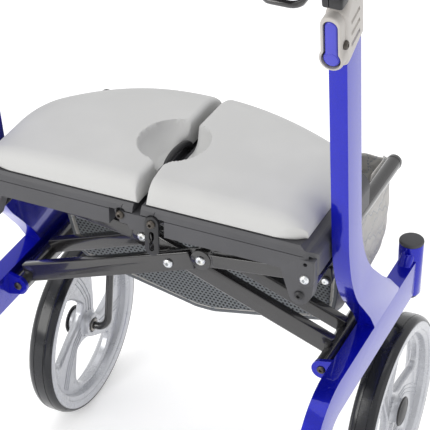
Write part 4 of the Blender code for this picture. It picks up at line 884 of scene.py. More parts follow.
@dataclass(frozen=True)
class Layout:
    """Sizes that several sub-assemblies share."""

    wheelbase: float = 0.459
    front_radius: float = 0.127
    rear_radius: float = 0.1015
    front_width: float = 0.035
    rear_width: float = 0.030
    frame_x: float = 0.225
    rear_x: float = 0.256
    trail: float = 0.042
    lean: float = math.radians(7.7)
    post_y: float = -0.202
    post_z: float = 0.527
    post_top: float = 0.790
    leg_angle: float = math.radians(46)
    head_low: float = 0.288
    head_high: float = 0.361
    tube_z: float = 0.3165
    pivot_x: float = 0.201
    pivot_z: float = 0.324
    rail_x: float = 0.196
    rail_z: float = 0.471
    pin_x: float = 0.020
    pin_z: float = 0.517
    tray_top: float = 0.5327
    seat_near: float = -0.264
    seat_far: float = -0.055
    grip_z: float = 0.930
    arm_near: float = -0.186
    arm_step: float = 0.017
    arm_thick: float = 0.012

    def post(self, height: float, rearward: float = 0.0) -> Vector:
        """Give (y, z) on the leaning post's centre line, moved squarely rearward."""
        y = AXLE_Y + self.post_y - (height - self.post_z) * math.tan(self.lean)
        return Vector((y - rearward * math.cos(self.lean), height - rearward * math.sin(self.lean)))

    def rear_axle(self) -> Vector:
        """Give (y, z) of the rear axle."""
        return Vector((AXLE_Y - self.wheelbase, self.rear_radius))

    def near_of(self, side: Side) -> float:
        """Give the near face of the arm or link on a side, counted from the front axle."""
        return self.arm_near + (0.0 if side is Side.RIGHT else self.arm_step)


PLAN = Layout()
# Where each brake loop turns.
CAD_AXIS = {"right": (0.225, -0.087441, 0.906), "left": (-0.225, -0.087441, 0.906)}


def mirrored(points: Sequence[Sequence[float]], side: Side) -> list[Vector]:
    """Flip an outline that is drawn for the right side when it is for the left.

    Args:
        points: Outline with x first.
        side: The side it is for.

    Returns:
        The outline.
    """
    return [Vector((p[0] * side.value, p[1])) for p in points]


def circle(radius: float, sides: int = 20) -> list[Pair]:
    """Give a round section."""
    return [(radius * math.cos(math.tau * i / sides), radius * math.sin(math.tau * i / sides)) for i in range(sides)]


@dataclass
class SideTubes:
    """One blue side frame: lower tube, leaning post, steering head and pivot lugs."""

    side: Side
    width: float = 0.022
    depth: float = 0.048
    post_width: float = 0.020
    post_depth: float = 0.039
    corner: float = 0.0090
    bend_radius: float = 0.062
    sweep_radius: float = 0.190
    foot_angle: float = math.radians(45)
    flare: float = 0.010
    head_radius: float = 0.0157

    def x(self) -> float:
        """Middle of the frame across."""
        return self.side.value * PLAN.frame_x

    def lower_line(self) -> list[Vector]:
        """Centre line of the lower tube, from the head to the rear hub."""
        axle = PLAN.rear_axle()
        down = Vector((-math.cos(PLAN.leg_angle), -math.sin(PLAN.leg_angle)))
        corner_y = axle.x + (PLAN.tube_z - axle.y) / math.tan(PLAN.leg_angle)
        reach = self.bend_radius * math.tan(PLAN.leg_angle / 2)
        centre = (corner_y + reach, PLAN.tube_z - self.bend_radius)
        bend = arc(centre, self.bend_radius, math.pi / 2, math.pi / 2 + PLAN.leg_angle, 16)
        start = Vector((AXLE_Y + PLAN.trail - self.head_radius * 0.4, PLAN.tube_z))
        return [start] + bend + [axle + down * 0.002]

    def post_line(self) -> list[Vector]:
        """Centre line of the post, from its top to its foot in the lower tube."""
        start = PLAN.post(PLAN.post_z)
        centre = start + Vector((math.cos(PLAN.lean), math.sin(PLAN.lean))) * self.sweep_radius
        sweep = arc(centre, self.sweep_radius, math.pi + PLAN.lean, math.pi + self.foot_angle, 22)
        end = sweep[-1]
        drop = end.y - (PLAN.tube_z + 0.006)
        foot = end + Vector((drop, -drop))
        return [PLAN.post(PLAN.post_top)] + sweep + [end.lerp(foot, 0.35), end.lerp(foot, 0.62), foot]

    def post_outline(self) -> list[Vector]:
        """Side view of the post, which grows deeper towards its foot."""
        line = self.post_line()
        last = len(line) - 1
        flare = [self.flare * 0.45 * smooth((i - 2) / (last - 5)) for i in range(last - 2)]
        flare += [self.flare * 0.8, self.flare * 1.5, self.flare * 1.5]
        half = self.post_depth / 2
        return band(line, [half + extra * 0.6 for extra in flare], [half + extra for extra in flare])

    def lug(self, near: float) -> Solid:
        """Pivot lug on the inner face; near is its near end from the front axle."""
        face, radius, thick = PLAN.frame_x - self.width / 2 + 0.003, 0.0122, 0.005
        x, z = PLAN.pivot_x, PLAN.pivot_z
        outline = [(face, z + radius + 0.004), (x, z + radius)]
        outline += arc((x, z), radius, math.pi / 2 + 0.1, 1.5 * math.pi - 0.1, 16)
        outline += [(x, z - radius), (face, z - radius - 0.004)]
        return Solid.prism(mirrored(outline, self.side), thick, Plane.XZ, AXLE_Y + near + thick / 2)

    def gusset(self) -> Solid:
        """Short rising web that carries the head."""
        y = AXLE_Y + PLAN.trail
        outline = [Vector((y - 0.045, 0.336)), Vector((y - 0.028, 0.3405)), Vector((y - 0.014, 0.3535)),
                   Vector((y, 0.3545)), Vector((y, 0.325)), Vector((y - 0.045, 0.325))]
        return Solid.prism(outline, 0.017, Plane.YZ, self.x()).rounded(0.004, 3)

    def body(self) -> Solid:
        """Join the tubes, soften where they meet and round their edges."""
        x = self.x()
        line = self.lower_line()
        half = [self.depth / 2] * len(line)
        tube = Solid.prism(band(line, half, half), self.width, Plane.YZ, x)
        axle = PLAN.rear_axle()
        reach = self.width / 2
        foot = Solid.cylinder(self.depth / 2, (x - reach, *axle), (x + reach, *axle), 48)
        tube = tube.plus(foot, Solid.prism(self.post_outline(), self.width, Plane.YZ, x)).flat()

        def junction(edge: bmesh.types.BMEdge) -> bool:
            across = abs((edge.verts[0].co - edge.verts[1].co).normalized().x) > 0.99
            return across and not edge.is_convex and edge.calc_face_angle(0) > 0.2

        tube.rounded(0.020, 8, 10, junction).flat()

        def outer(edge: bmesh.types.BMEdge) -> bool:
            flats = [abs(f.normal.x) > 0.99 for f in edge.link_faces]
            return flats[0] != flats[1]

        tube.rounded(self.corner, 7, 30, outer)
        narrow = 1 - self.post_width / self.width

        def slim(place: Vector) -> Vector:
            share = 1 - narrow * smooth((place.z - 0.35) / 0.05)
            return Vector((x + (place.x - x) * share, place.y, place.z))

        return tube.shape(slim)

    def build(self) -> None:
        """Make the frame and its head cap."""
        word, x, sign = self.side.word, self.x(), self.side.value
        head = Solid.cylinder(self.head_radius, spot(x, PLAN.trail, PLAN.head_low),
                              spot(x, PLAN.trail, PLAN.head_high), 64)
        head.rounded(0.0008, 2, 60)
        whole = self.body().plus(self.gusset(), head, self.lug(-0.199), self.lug(-0.020))
        axle = PLAN.rear_axle()
        stub_end = sign * (PLAN.rear_x + PLAN.rear_width / 2 - 0.0025)
        up = Vector((math.cos(PLAN.leg_angle), math.sin(PLAN.leg_angle)))
        pin = axle + up * 0.122
        whole = whole.plus(Solid.cylinder(0.006, (x, *axle), (stub_end, *axle), 32),
                           Solid.cylinder(0.004, (x, *pin), (sign * (PLAN.rear_x + 0.006), *pin), 24))
        stem = Solid.cylinder(0.00545, spot(x, PLAN.trail, PLAN.head_low - 0.01),
                              spot(x, PLAN.trail, PLAN.head_high + 0.01), 32)
        bolt = Solid.cylinder(0.0043, spot(sign * PLAN.pivot_x, -0.21, PLAN.pivot_z),
                              spot(sign * PLAN.pivot_x, 0.0, PLAN.pivot_z), 24)
        top, low = PLAN.post(PLAN.post_top + 0.02), PLAN.post(PLAN.grip_z - 0.350)
        hollow = Solid.prism(band([top, low], [0.0169] * 2, [0.0169] * 2), 0.0153, Plane.YZ, x).rounded(0.003, 2)
        whole = whole.minus(stem, bolt, hollow)
        whole.ready(f"side_tubes_{word}", BLUE, f"frame_{word}", [f"side_frame_{word}"], 32)
        low = PLAN.head_high + 0.0003
        cap = [(0.0, low), (0.0158, low), (0.0159, low + 0.0015), (0.0156, low + 0.0030), (0.0148, low + 0.0040),
               (0.0135, low + 0.0045), (0.0, low + 0.0046)]
        Solid.turned(cap, Axle.Z, spot(x, PLAN.trail, 0), 64).ready(
            f"head_plug_{word}", CAP_GREY, f"frame_{word}", [f"head_cap_{word}"])


# The casting's pattern for a wheel of the front size: millimetres from the hub, and degrees.
LEAF = ((25, -118), (30, -134), (40, -141), (55, -132), (70, -126), (83, -120), (91, -112), (95, -100), (96.5, -85),
        (96, -68), (90, -54), (80, -50), (68, -53), (55, -58), (42, -67), (31, -80), (25, -97))
SPOKE = ((19, -55), (30, -47), (40, -44), (55, -34), (70, -28), (85, -23), (97, -20))
# How far each wheel has rolled.
FRONT_PHASE = {Side.LEFT: math.radians(6), Side.RIGHT: math.radians(20)}
REAR_PHASE = {Side.LEFT: math.radians(-30), Side.RIGHT: math.radians(45)}


@dataclass
class Wheel:
    """A moulded wheel with three swept spokes, a solid tyre and a hub cap."""

    name: str
    body: str
    side: Side
    centre: Vector
    radius: float
    width: float
    bore: float
    phase: float
    lip: float = 0.0066
    web_half: float = 0.0056
    flare: float = 1.09
    hub_radius: float = 0.0165
    steps: int = 96

    def ring(self, rows: Sequence[Pair]) -> Solid:
        """Turn a half profile, given from the tread inward and as shares of the half width, with its mirror."""
        h = self.width / 2
        profile = [(self.radius - inward, share * h) for inward, share in rows]
        profile += [(radius, -height) for radius, height in profile[::-1]]
        return Solid.turned(profile, Axle.X, self.centre, self.steps, ring=True)

    def tyre(self) -> Solid:
        """Tyre with round shoulders and two shallow grooves, thin beside the casting's lip."""
        return self.ring([(0.0157, 0.58), (self.lip - 0.0003, 0.93), (self.lip - 0.0008, 0.965), (0.0048, 0.945),
                          (0.0036, 0.88), (0.0022, 0.78), (0.0011, 0.66), (0.0005, 0.54), (0.0002, 0.43),
                          (0.0008, 0.41), (0.0008, 0.37), (0.0001, 0.35), (0.0, 0.20)])

    def on_wheel(self, reach: float, degrees: float, turn: float) -> Vector:
        """Place a point of the casting's pattern, given for a wheel of the front size."""
        clear = self.radius - 0.0300
        radius = 0.025 + (reach / 1000 - 0.025) * (clear - 0.025) / (0.097 - 0.025)
        angle = math.radians(degrees) + turn
        angle = angle if self.side is Side.LEFT else math.pi - angle
        angle += self.phase
        return Vector((radius * math.cos(angle), radius * math.sin(angle)))

    def window(self, turn: float) -> Solid:
        """One leaf-shaped hole with flared edges."""
        hub = Vector((self.centre.y, self.centre.z))
        outline = [p + hub for p in rounded_loop([self.on_wheel(r, a, turn) for r, a in LEAF])]
        hole = Solid.prism(outline, 2 * self.web_half - 0.0044, Plane.YZ, self.centre.x)
        middle = sum((Vector((0, *p)) for p in outline), Vector()) / len(outline)
        for reach in (1, -1):
            cap = max(hole.mesh.faces, key=lambda f: f.calc_center_median().x * reach)
            for grow, step in ((1.02, 0.0009), (1.035, 0.0009), (self.flare, 0.0016)):
                grown = bmesh.ops.extrude_discrete_faces(hole.mesh, faces=[cap])
                cap = grown["faces"][0]
                for vert in cap.verts:
                    away = vert.co - middle
                    vert.co = middle + Vector((away.x + reach * step, away.y * grow, away.z * grow))
        return hole.weld().outward()

    def flutes(self) -> list[Solid]:
        """Fine raised lines along each spoke, on both faces."""
        made = []
        for spoke in range(3):
            for shift in (-0.0062, 0.0, 0.0062):
                for face in (1, -1):
                    path = []
                    for reach, degrees in SPOKE:
                        point = self.on_wheel(reach, degrees + math.degrees(shift * 1000 / reach), spoke * math.tau / 3)
                        path.append(Vector((self.centre.x + face * self.web_half, *(point + self.centre.yz))))
                    made.append(Solid.swept(circle(0.0012, 10), bent(path, 0.02, 3), (1, 0, 0)))
        return made

    def rim(self) -> Solid:
        """Rim band, web with swept spokes and bored hub in one casting."""
        h = self.width / 2
        ring = self.ring([(0.0160, 0.55), (self.lip, 0.92), (self.lip + 0.0008, 0.965), (0.0110, 0.985),
                          (0.0150, 0.975), (0.0172, 0.93), (0.0180, 0.86), (0.0212, 0.80), (0.0232, 0.70),
                          (0.0240, 0.50), (0.0250, 0.30), (0.0255, 0.10)])
        reach = Vector((self.web_half, 0, 0))
        web = Solid.cylinder(self.radius - 0.0200, self.centre - reach, self.centre + reach, self.steps)
        web = web.minus(*[self.window(spoke * math.tau / 3) for spoke in range(3)])
        hub_half, r = h - 0.0020, self.hub_radius
        half = [(0.0, hub_half), (r - 0.0014, hub_half), (r - 0.0003, hub_half - 0.0009), (r, hub_half - 0.0025),
                (r, self.web_half + 0.0040), (r + 0.0012, self.web_half + 0.0016), (r + 0.0042, self.web_half - 0.0006)]
        profile = half + [(radius, -height) for radius, height in half[::-1]]
        hub = Solid.turned(profile, Axle.X, self.centre, 48)
        through = Vector((0.04, 0, 0))
        bore = Solid.cylinder(self.bore, self.centre - through, self.centre + through, 32)
        inboard = Vector((-self.side.value, 0, 0))
        cup = Solid.cylinder(0.0112, self.centre + inboard * (hub_half - 0.0022), self.centre + inboard * 0.04, 40)
        return web.plus(ring, hub).minus(bore, cup)

    def cap(self) -> Solid:
        """Domed hub cap with a raised border."""
        x = self.side.value
        start = abs(self.centre.x) + self.width / 2 - 0.0020 + 0.0003
        rows = [(0.0, 0.0), (0.0196, 0.0), (0.0200, 0.0006), (0.0199, 0.0016), (0.0190, 0.0024), (0.0178, 0.0026),
                (0.0170, 0.0021), (0.0160, 0.0024), (0.0125, 0.0036), (0.0080, 0.0043), (0.0, 0.0045)]
        profile = [(r, x * (start + h)) for r, h in rows]
        return Solid.turned(profile, Axle.X, (0, self.centre.y, self.centre.z), 64)

    def build(self) -> None:
        """Make the tyre, rim and cap."""
        word = self.side.word
        self.tyre().ready(f"{self.name}_tyre_cover_{word}", TYRE, self.body, [f"{self.name}_tyre_{word}"], 50)
        casting = self.rim().flat()
        casting = casting.beside(*self.flutes())
        rim = casting.ready(f"{self.name}_casting_{word}", SILVER, self.body, [f"{self.name}_rim_{word}"], 34)
        soften(rim, 0.0005, 2, 40)
        self.cap().ready(f"{self.name}_hub_disc_{word}", BLACK, self.body, [f"{self.name}_hub_cap_{word}"], 45)


@dataclass
class CasterFork:
    """The single bent rod that carries a front wheel."""

    side: Side
    rod: float = 0.0054
    leg_x: float = 0.187
    bend_radius: float = 0.018

    def build(self) -> None:
        """Make the rod with its collar, and the bush beside the hub."""
        sign, word = self.side.value, self.side.word
        hub_end = PLAN.frame_x + PLAN.front_width / 2 - 0.0025
        corners = [spot(sign * PLAN.frame_x, PLAN.trail, PLAN.head_high - 0.0015),
                   spot(sign * PLAN.frame_x, PLAN.trail, PLAN.head_low - 0.008),
                   spot(sign * self.leg_x, 0.016, 2 * PLAN.front_radius - 0.018),
                   spot(sign * self.leg_x, 0.0, PLAN.front_radius),
                   spot(sign * hub_end, 0.0, PLAN.front_radius)]
        rod = Solid.swept(circle(self.rod, 24), bent(corners, self.bend_radius, 14), (0, 1, 0.02))
        top = PLAN.head_low - 0.0003
        collar = [(0.0, top), (0.0118, top), (0.0125, top - 0.0007), (0.0125, top - 0.0040), (0.0112, top - 0.0050),
                  (0.0, top - 0.0050)]
        rod = rod.plus(Solid.turned(collar, Axle.Z, spot(sign * PLAN.frame_x, PLAN.trail, 0), 48))
        bush = [(0.0056, 0.0015), (0.0088, 0.0015), (0.0092, 0.0009), (0.0092, -0.0012), (0.0084, -0.0020),
                (0.0056, -0.0020)]
        start = PLAN.frame_x - PLAN.front_width / 2 + 0.0020
        profile = [(r, sign * (start + h)) for r, h in bush]
        spacer = Solid.turned(profile, Axle.X, (0, AXLE_Y, PLAN.front_radius), 40, ring=True)
        rod.ready(f"fork_rod_{word}", ARM_BLACK, f"caster_{word}", [f"caster_fork_{word}"], 40)
        spacer.ready(f"axle_bush_{word}", STEEL, f"caster_{word}", (), 40)


def drive_head(x: float, y: float, z: float, radius: float, height: float, finish: Finish, name: str, body: str,
               stands_for: Sequence[str], far: float = 0.0, shank: float = 0.0, nut: float = 0.0) -> None:
    """Make a button bolt along Y with a hexagon drive, and a nut if asked.

    Args:
        x: Place across.
        y: Near face that the head sits on, from the front axle.
        z: Height.
        radius: Radius of the head.
        height: Height of the head.
        finish: The bolt's finish.
        name: Name of the piece.
        body: Body that it rides on.
        stands_for: Nodes that it replaces.
        far: Far end of the shank, from the front axle.
        shank: Radius of the shank.
        nut: Radius of the nut, if there is one.
    """
    seat = y - 0.0003
    rows = [(0.0, seat - height), (radius * 0.42, seat - height), (radius * 0.70, seat - height * 0.88),
            (radius * 0.90, seat - height * 0.58), (radius, seat - height * 0.22), (radius, seat)]
    if nut:
        rows += [(shank, seat), (shank, far + 0.0003), (nut * 0.94, far + 0.0003), (nut, far + 0.0007),
                 (nut, far + 0.0038), (nut * 0.9, far + 0.0045), (0.0, far + 0.0045)]
    else:
        rows += [(shank, seat), (shank, far), (0.0, far)]
    bolt = Solid.turned(rows, Axle.Y, spot(x, 0, z), 40)
    key = Solid.cylinder(radius * 0.40, spot(x, seat - height - 0.002, z), spot(x, seat - height * 0.35, z), 6)
    bolt.minus(key).ready(name, finish, body, stands_for, 40)


def bar(start: Vector, end: Vector, half: float, round_start: bool, round_end: bool) -> list[Vector]:
    """Outline a straight bar with square or round ends.

    Args:
        start: Middle of one end.
        end: Middle of the other end.
        half: Half of its width.
        round_start: True rounds the start.
        round_end: True rounds the end.

    Returns:
        The outline.
    """
    along = (end - start).normalized()
    angle = math.atan2(along.y, along.x)
    across = Vector((-along.y, along.x)) * half
    quarter = math.pi / 2
    tip = [end - across, end + across]
    if round_end:
        tip = arc(end, half, angle - quarter, angle + quarter, 16)
    tail = [start + across, start - across]
    if round_start:
        tail = arc(start, half, angle + quarter, angle + 3 * quarter, 16)
    return tip + tail


@dataclass
class Fold:
    """Crossed arms, links, rails and their bolts."""

    knee_x: float = 0.042
    knee_z: float = 0.424
    link_x: float = 0.200
    link_z: float = 0.444
    rail_radius: float = 0.0095
    rail_near: float = -0.243
    rail_far: float = 0.041
    foot_z: float = 0.334
    far_shift: dict[Side, float] = field(default_factory=lambda: {Side.LEFT: 0.066, Side.RIGHT: 0.044})

    def cross_z(self) -> float:
        """Height of the centre bolt."""
        return self.foot_z + (self.knee_z - self.foot_z) * PLAN.pivot_x / (self.knee_x + PLAN.pivot_x)

    def rail(self, side: Side) -> None:
        """Make a rail sleeve with its domed end, the riser and the link."""
        sign, word, near = side.value, side.word, PLAN.near_of(side)
        middle = AXLE_Y + near + PLAN.arm_thick / 2
        knee, end = Vector((self.knee_x, self.knee_z)), Vector((self.link_x, self.link_z))
        along = (end - knee).normalized()
        start = knee + along * 0.0132
        r = self.rail_radius
        rows = [(0.0, self.rail_near), (r - 0.0008, self.rail_near), (r, self.rail_near + 0.0008),
                (r, self.rail_far - 0.004)]
        rows += [(r * 1.04, self.rail_far - 0.004), (r * 1.04, self.rail_far + 0.0005)]
        rows += [(r * 1.04 * math.cos(a), self.rail_far + 0.0005 + 0.005 * math.sin(a))
                 for a in (0.25, 0.5, 0.75, 1.0, 1.25)] + [(0.0, self.rail_far + 0.0055)]
        sleeve = Solid.turned(rows, Axle.Y, spot(sign * PLAN.rail_x, 0, PLAN.rail_z), 56)
        link = bar(start, Vector((self.link_x - 0.004, self.link_z - 0.0005)), 0.009, False, True)
        body = Solid.prism(mirrored(link, side), PLAN.arm_thick, Plane.XZ, middle).rounded(0.0022, 4)
        riser = bar(Vector((self.link_x - 0.003, self.link_z)), Vector((PLAN.rail_x, PLAN.rail_z)), 0.0085, True,
                    False)
        post = Solid.prism(mirrored(riser, side), PLAN.arm_thick - 0.0004, Plane.XZ, middle)
        tongue = bar(start + along * 0.006, knee, 0.0086, False, True)
        half_lap = PLAN.arm_thick / 2 - 0.00055
        lap = Solid.prism(mirrored(tongue, side), half_lap, Plane.XZ, middle - 0.00015 - half_lap / 2)
        bolt = Solid.cylinder(0.0038, spot(sign * self.knee_x, near - 0.02, self.knee_z),
                              spot(sign * self.knee_x, near + 0.04, self.knee_z), 24)
        screw = Solid.cylinder(0.0043, spot(sign * PLAN.rail_x, self.rail_near - 0.01, PLAN.rail_z),
                               spot(sign * PLAN.rail_x, self.rail_near + 0.0123, PLAN.rail_z), 24)
        whole = sleeve.plus(post, body, lap).minus(bolt, screw)
        whole.ready(f"rail_sleeve_{word}", ARM_BLACK, f"rail_{word}", [f"seat_rail_{word}"], 32)

    def far_bar(self, side: Side) -> None:
        """Make the second bar of a crossed arm, which runs beside the first one farther in."""
        other = Side.LEFT if side is Side.RIGHT else Side.RIGHT
        outline = bar(Vector((PLAN.pivot_x - 0.002, self.foot_z)), Vector((-self.knee_x, self.knee_z)), 0.0092,
                           False, True)
        middle = AXLE_Y + PLAN.near_of(other) + PLAN.arm_thick / 2 + self.far_shift[side]
        made = Solid.prism(mirrored(outline, side), PLAN.arm_thick, Plane.XZ, middle).rounded(0.0016, 3)
        made.ready(f"far_bar_{side.word}", ARM_BLACK, f"arm_{side.word}", (), 32)

    def knee(self, side: Side) -> None:
        """Make the round cheek plate over the lap at a knee."""
        x, near = side.value * self.knee_x, PLAN.near_of(side)
        other = "left" if side is Side.RIGHT else "right"
        plate = Solid.cylinder(0.0127, spot(x, near - 0.0006, self.knee_z), spot(x, near + 0.0010, self.knee_z), 64)
        plate.rounded(0.0004, 2, 50).ready(f"knee_cheek_{side.word}", ARM_BLACK, f"arm_{other}", (), 32)

    def bolts(self) -> None:
        """Make every bolt of the fold."""
        for side in Side:
            sign, word, other = side.value, side.word, "left" if side is Side.RIGHT else "right"
            near = PLAN.near_of(side)
            drive_head(sign * PLAN.pivot_x, -0.199, PLAN.pivot_z, 0.0052, 0.0022, BRONZE, f"lower_bolt_{word}",
                       f"frame_{word}", [f"pivot_bolt_{word}"], -0.015, 0.004, 0.0065)
            drive_head(sign * self.knee_x, near, self.knee_z, 0.0062, 0.0036, ZINC, f"knee_screw_{word}",
                       f"arm_{other}", [f"knee_bolt_{word}"], near + PLAN.arm_thick, 0.0035, 0.006)
            drive_head(sign * PLAN.rail_x, PLAN.seat_near, PLAN.rail_z, 0.0058, 0.0030, BLACK, f"rail_screw_{word}",
                       f"rail_{word}", [f"tray_bolt_{word}"], self.rail_near + 0.012, 0.004)
            drive_head(sign * (self.link_x - 0.001), near - 0.0061, self.link_z, 0.0043, 0.0018, ZINC,
                       f"link_screw_{word}", f"rail_{word}", (), near - 0.0050, 0.0025)
        far = PLAN.arm_near + PLAN.arm_step + PLAN.arm_thick
        drive_head(0.0, PLAN.arm_near, self.cross_z(), 0.0062, 0.0036, ZINC, "cross_screw", "arm_left",
                   ["centre_bolt"], far, 0.004, 0.0065)

    def build(self) -> None:
        """Make the whole fold."""
        for side in Side:
            word = side.word
            arm = redress(f"cross_arm_{word}", ARM_BLACK, f"arm_{word}", 0.0012, 3)
            arm.data.set_sharp_from_angle(angle=math.radians(50))
            redress(f"rail_clip_{word}", BLACK, f"rail_{word}", 0.0004, 2)
            self.rail(side)
            self.far_bar(side)
            self.knee(side)
        self.bolts()


@dataclass
class Pad:
    """One moulded foam seat pad, with its half of the oval hand recess."""

    side: Side
    outer_x: float = 0.198
    near_y: float = -0.259
    height: float = 0.0345
    foot: float = 0.0060
    near_reach: float = 0.017
    far_reach: float = 0.045
    outer_reach: float = 0.036
    inner_reach: float = 0.0070
    bowl: tuple[float, float] = (0.041, 0.045)
    bowl_y: float = -0.166
    bowl_depth: float = 0.031
    columns: int = 120
    rows: int = 120
    layers: int = 10

    def far_y(self, x: float) -> float:
        """Far edge of the base at a distance from the middle; it draws back towards the outer end."""
        if self.side is Side.LEFT:
            return -0.0336 - 0.0112 * (abs(x) / 0.0835) ** 2.65
        return -0.0310 - 0.0186 * (abs(x) / 0.100) ** 1.76

    def wall(self, y: float, up: float) -> float:
        """Place of the wall beside the gap; it draws back at the near end and below the recess."""
        far = smooth((y + 0.200) / 0.150)
        start = 0.0006 - 0.0014 * far if self.side is Side.LEFT else 0.0092 + 0.0036 * far
        near = max(0.0, 1 - (y - self.near_y) / 0.050)
        hole = smooth((y + 0.197) / 0.006) * smooth((-0.122 - y) / 0.012)
        notch = 0.0030 * smooth((y + 0.2145) / 0.0035) * smooth((-0.1905 - y) / 0.0035)
        depth = 0.0095 if self.side is Side.LEFT else 0.0035
        return start + 0.0026 * smooth(near) * up + depth * hole * (1 - 0.30 * up) + notch

    def rise(self, away: float, reach: float) -> float:
        """Share of the full height at a distance from an edge that is rounded over a reach."""
        share = 1 - min(max(away / reach, 0.0), 1.0)
        return math.sqrt(max(0.0, 1 - share * share))

    def top(self, x: float, y: float, inner: float, far: float) -> float:
        """Height of the pad's upper side over the tray."""
        across = min(max(x / self.outer_x, 0.0), 1.0)
        along = (y - self.near_y) / (far - self.near_y)
        crown = self.height * (1 - 0.16 * across ** 2 - 0.14 * (1 - along) ** 2)
        shares = (self.rise(y - self.near_y, self.near_reach), self.rise(far - y, self.far_reach),
                  self.rise(self.outer_x - x, self.outer_reach), 0.80 + 0.20 * self.rise(x - inner, self.inner_reach))
        full = self.foot + (crown - self.foot) * math.prod(shares)
        reach = math.hypot((x - 0.0005 * self.side.value) / self.bowl[0], (y - self.bowl_y) / self.bowl[1])
        drop = self.bowl_depth * (1 - reach ** 2.0) ** 0.55 if reach < 1 else 0.0
        return max(full - drop, 0.0055)

    def place(self, across: float, along: float, up: float) -> Vector:
        """Put a point of the unit cube on the pad.

        Args:
            across: 0 at the gap, 1 at the outer edge.
            along: 0 at the near edge, 1 at the far edge.
            up: 0 on the tray, 1 on top.

        Returns:
            The point, with x counted to this pad's side.
        """
        x = self.outer_x * across
        far = self.far_y(x)
        y = self.near_y + (far - self.near_y) * along
        inner = self.wall(y, up)
        x = inner + (self.outer_x - inner) * across
        short = max(0.0, 1 - (self.outer_x - x) / 0.034)
        y += 0.012 * short ** 2 * (max(0.0, 1 - along * 5) - 0.6 * max(0.0, along * 5 - 4))
        top = self.top(x, y, inner, far)
        tuck = 0.0030 * (2 * min(up, 0.5) - 1) ** 2
        x -= tuck * smooth((across - 0.93) / 0.07)
        y += tuck * (smooth((0.06 - along) / 0.06) - smooth((along - 0.94) / 0.06))
        return Vector((x, y, top * up))

    def build(self) -> None:
        """Make the pad."""
        made = Solid()
        base = PLAN.tray_top + 0.0003
        sign = self.side.value

        def spaced(share: float) -> float:
            return 0.5 - 0.5 * math.cos(math.pi * share) * (1 - 0.25 * math.sin(math.pi * share))

        bmesh.ops.create_grid(made.mesh, x_segments=self.columns, y_segments=self.rows, size=0.5)
        top = list(made.mesh.faces)
        grown = bmesh.ops.extrude_face_region(made.mesh, geom=top, use_keep_orig=True)
        sunk = [g for g in grown["geom"] if isinstance(g, bmesh.types.BMVert)]
        bmesh.ops.translate(made.mesh, vec=(0, 0, -1), verts=sunk)
        upright = [e for e in made.mesh.edges if abs(e.verts[0].co.z - e.verts[1].co.z) > 0.5]
        bmesh.ops.subdivide_edges(made.mesh, edges=upright, cuts=self.layers - 1, use_grid_fill=True)
        made.weld(0.00001)
        for vert in made.mesh.verts:
            across, along, up = spaced(vert.co.x + 0.5), spaced(vert.co.y + 0.5), vert.co.z + 1
            point = self.place(across, along, up)
            vert.co = spot(sign * point.x, point.y, base + point.z)
        made.outward()
        pad = made.ready(f"foam_pad_{self.side.word}", FOAM, f"tray_{self.side.word}",
                         [f"seat_pad_{self.side.word}"], 62)


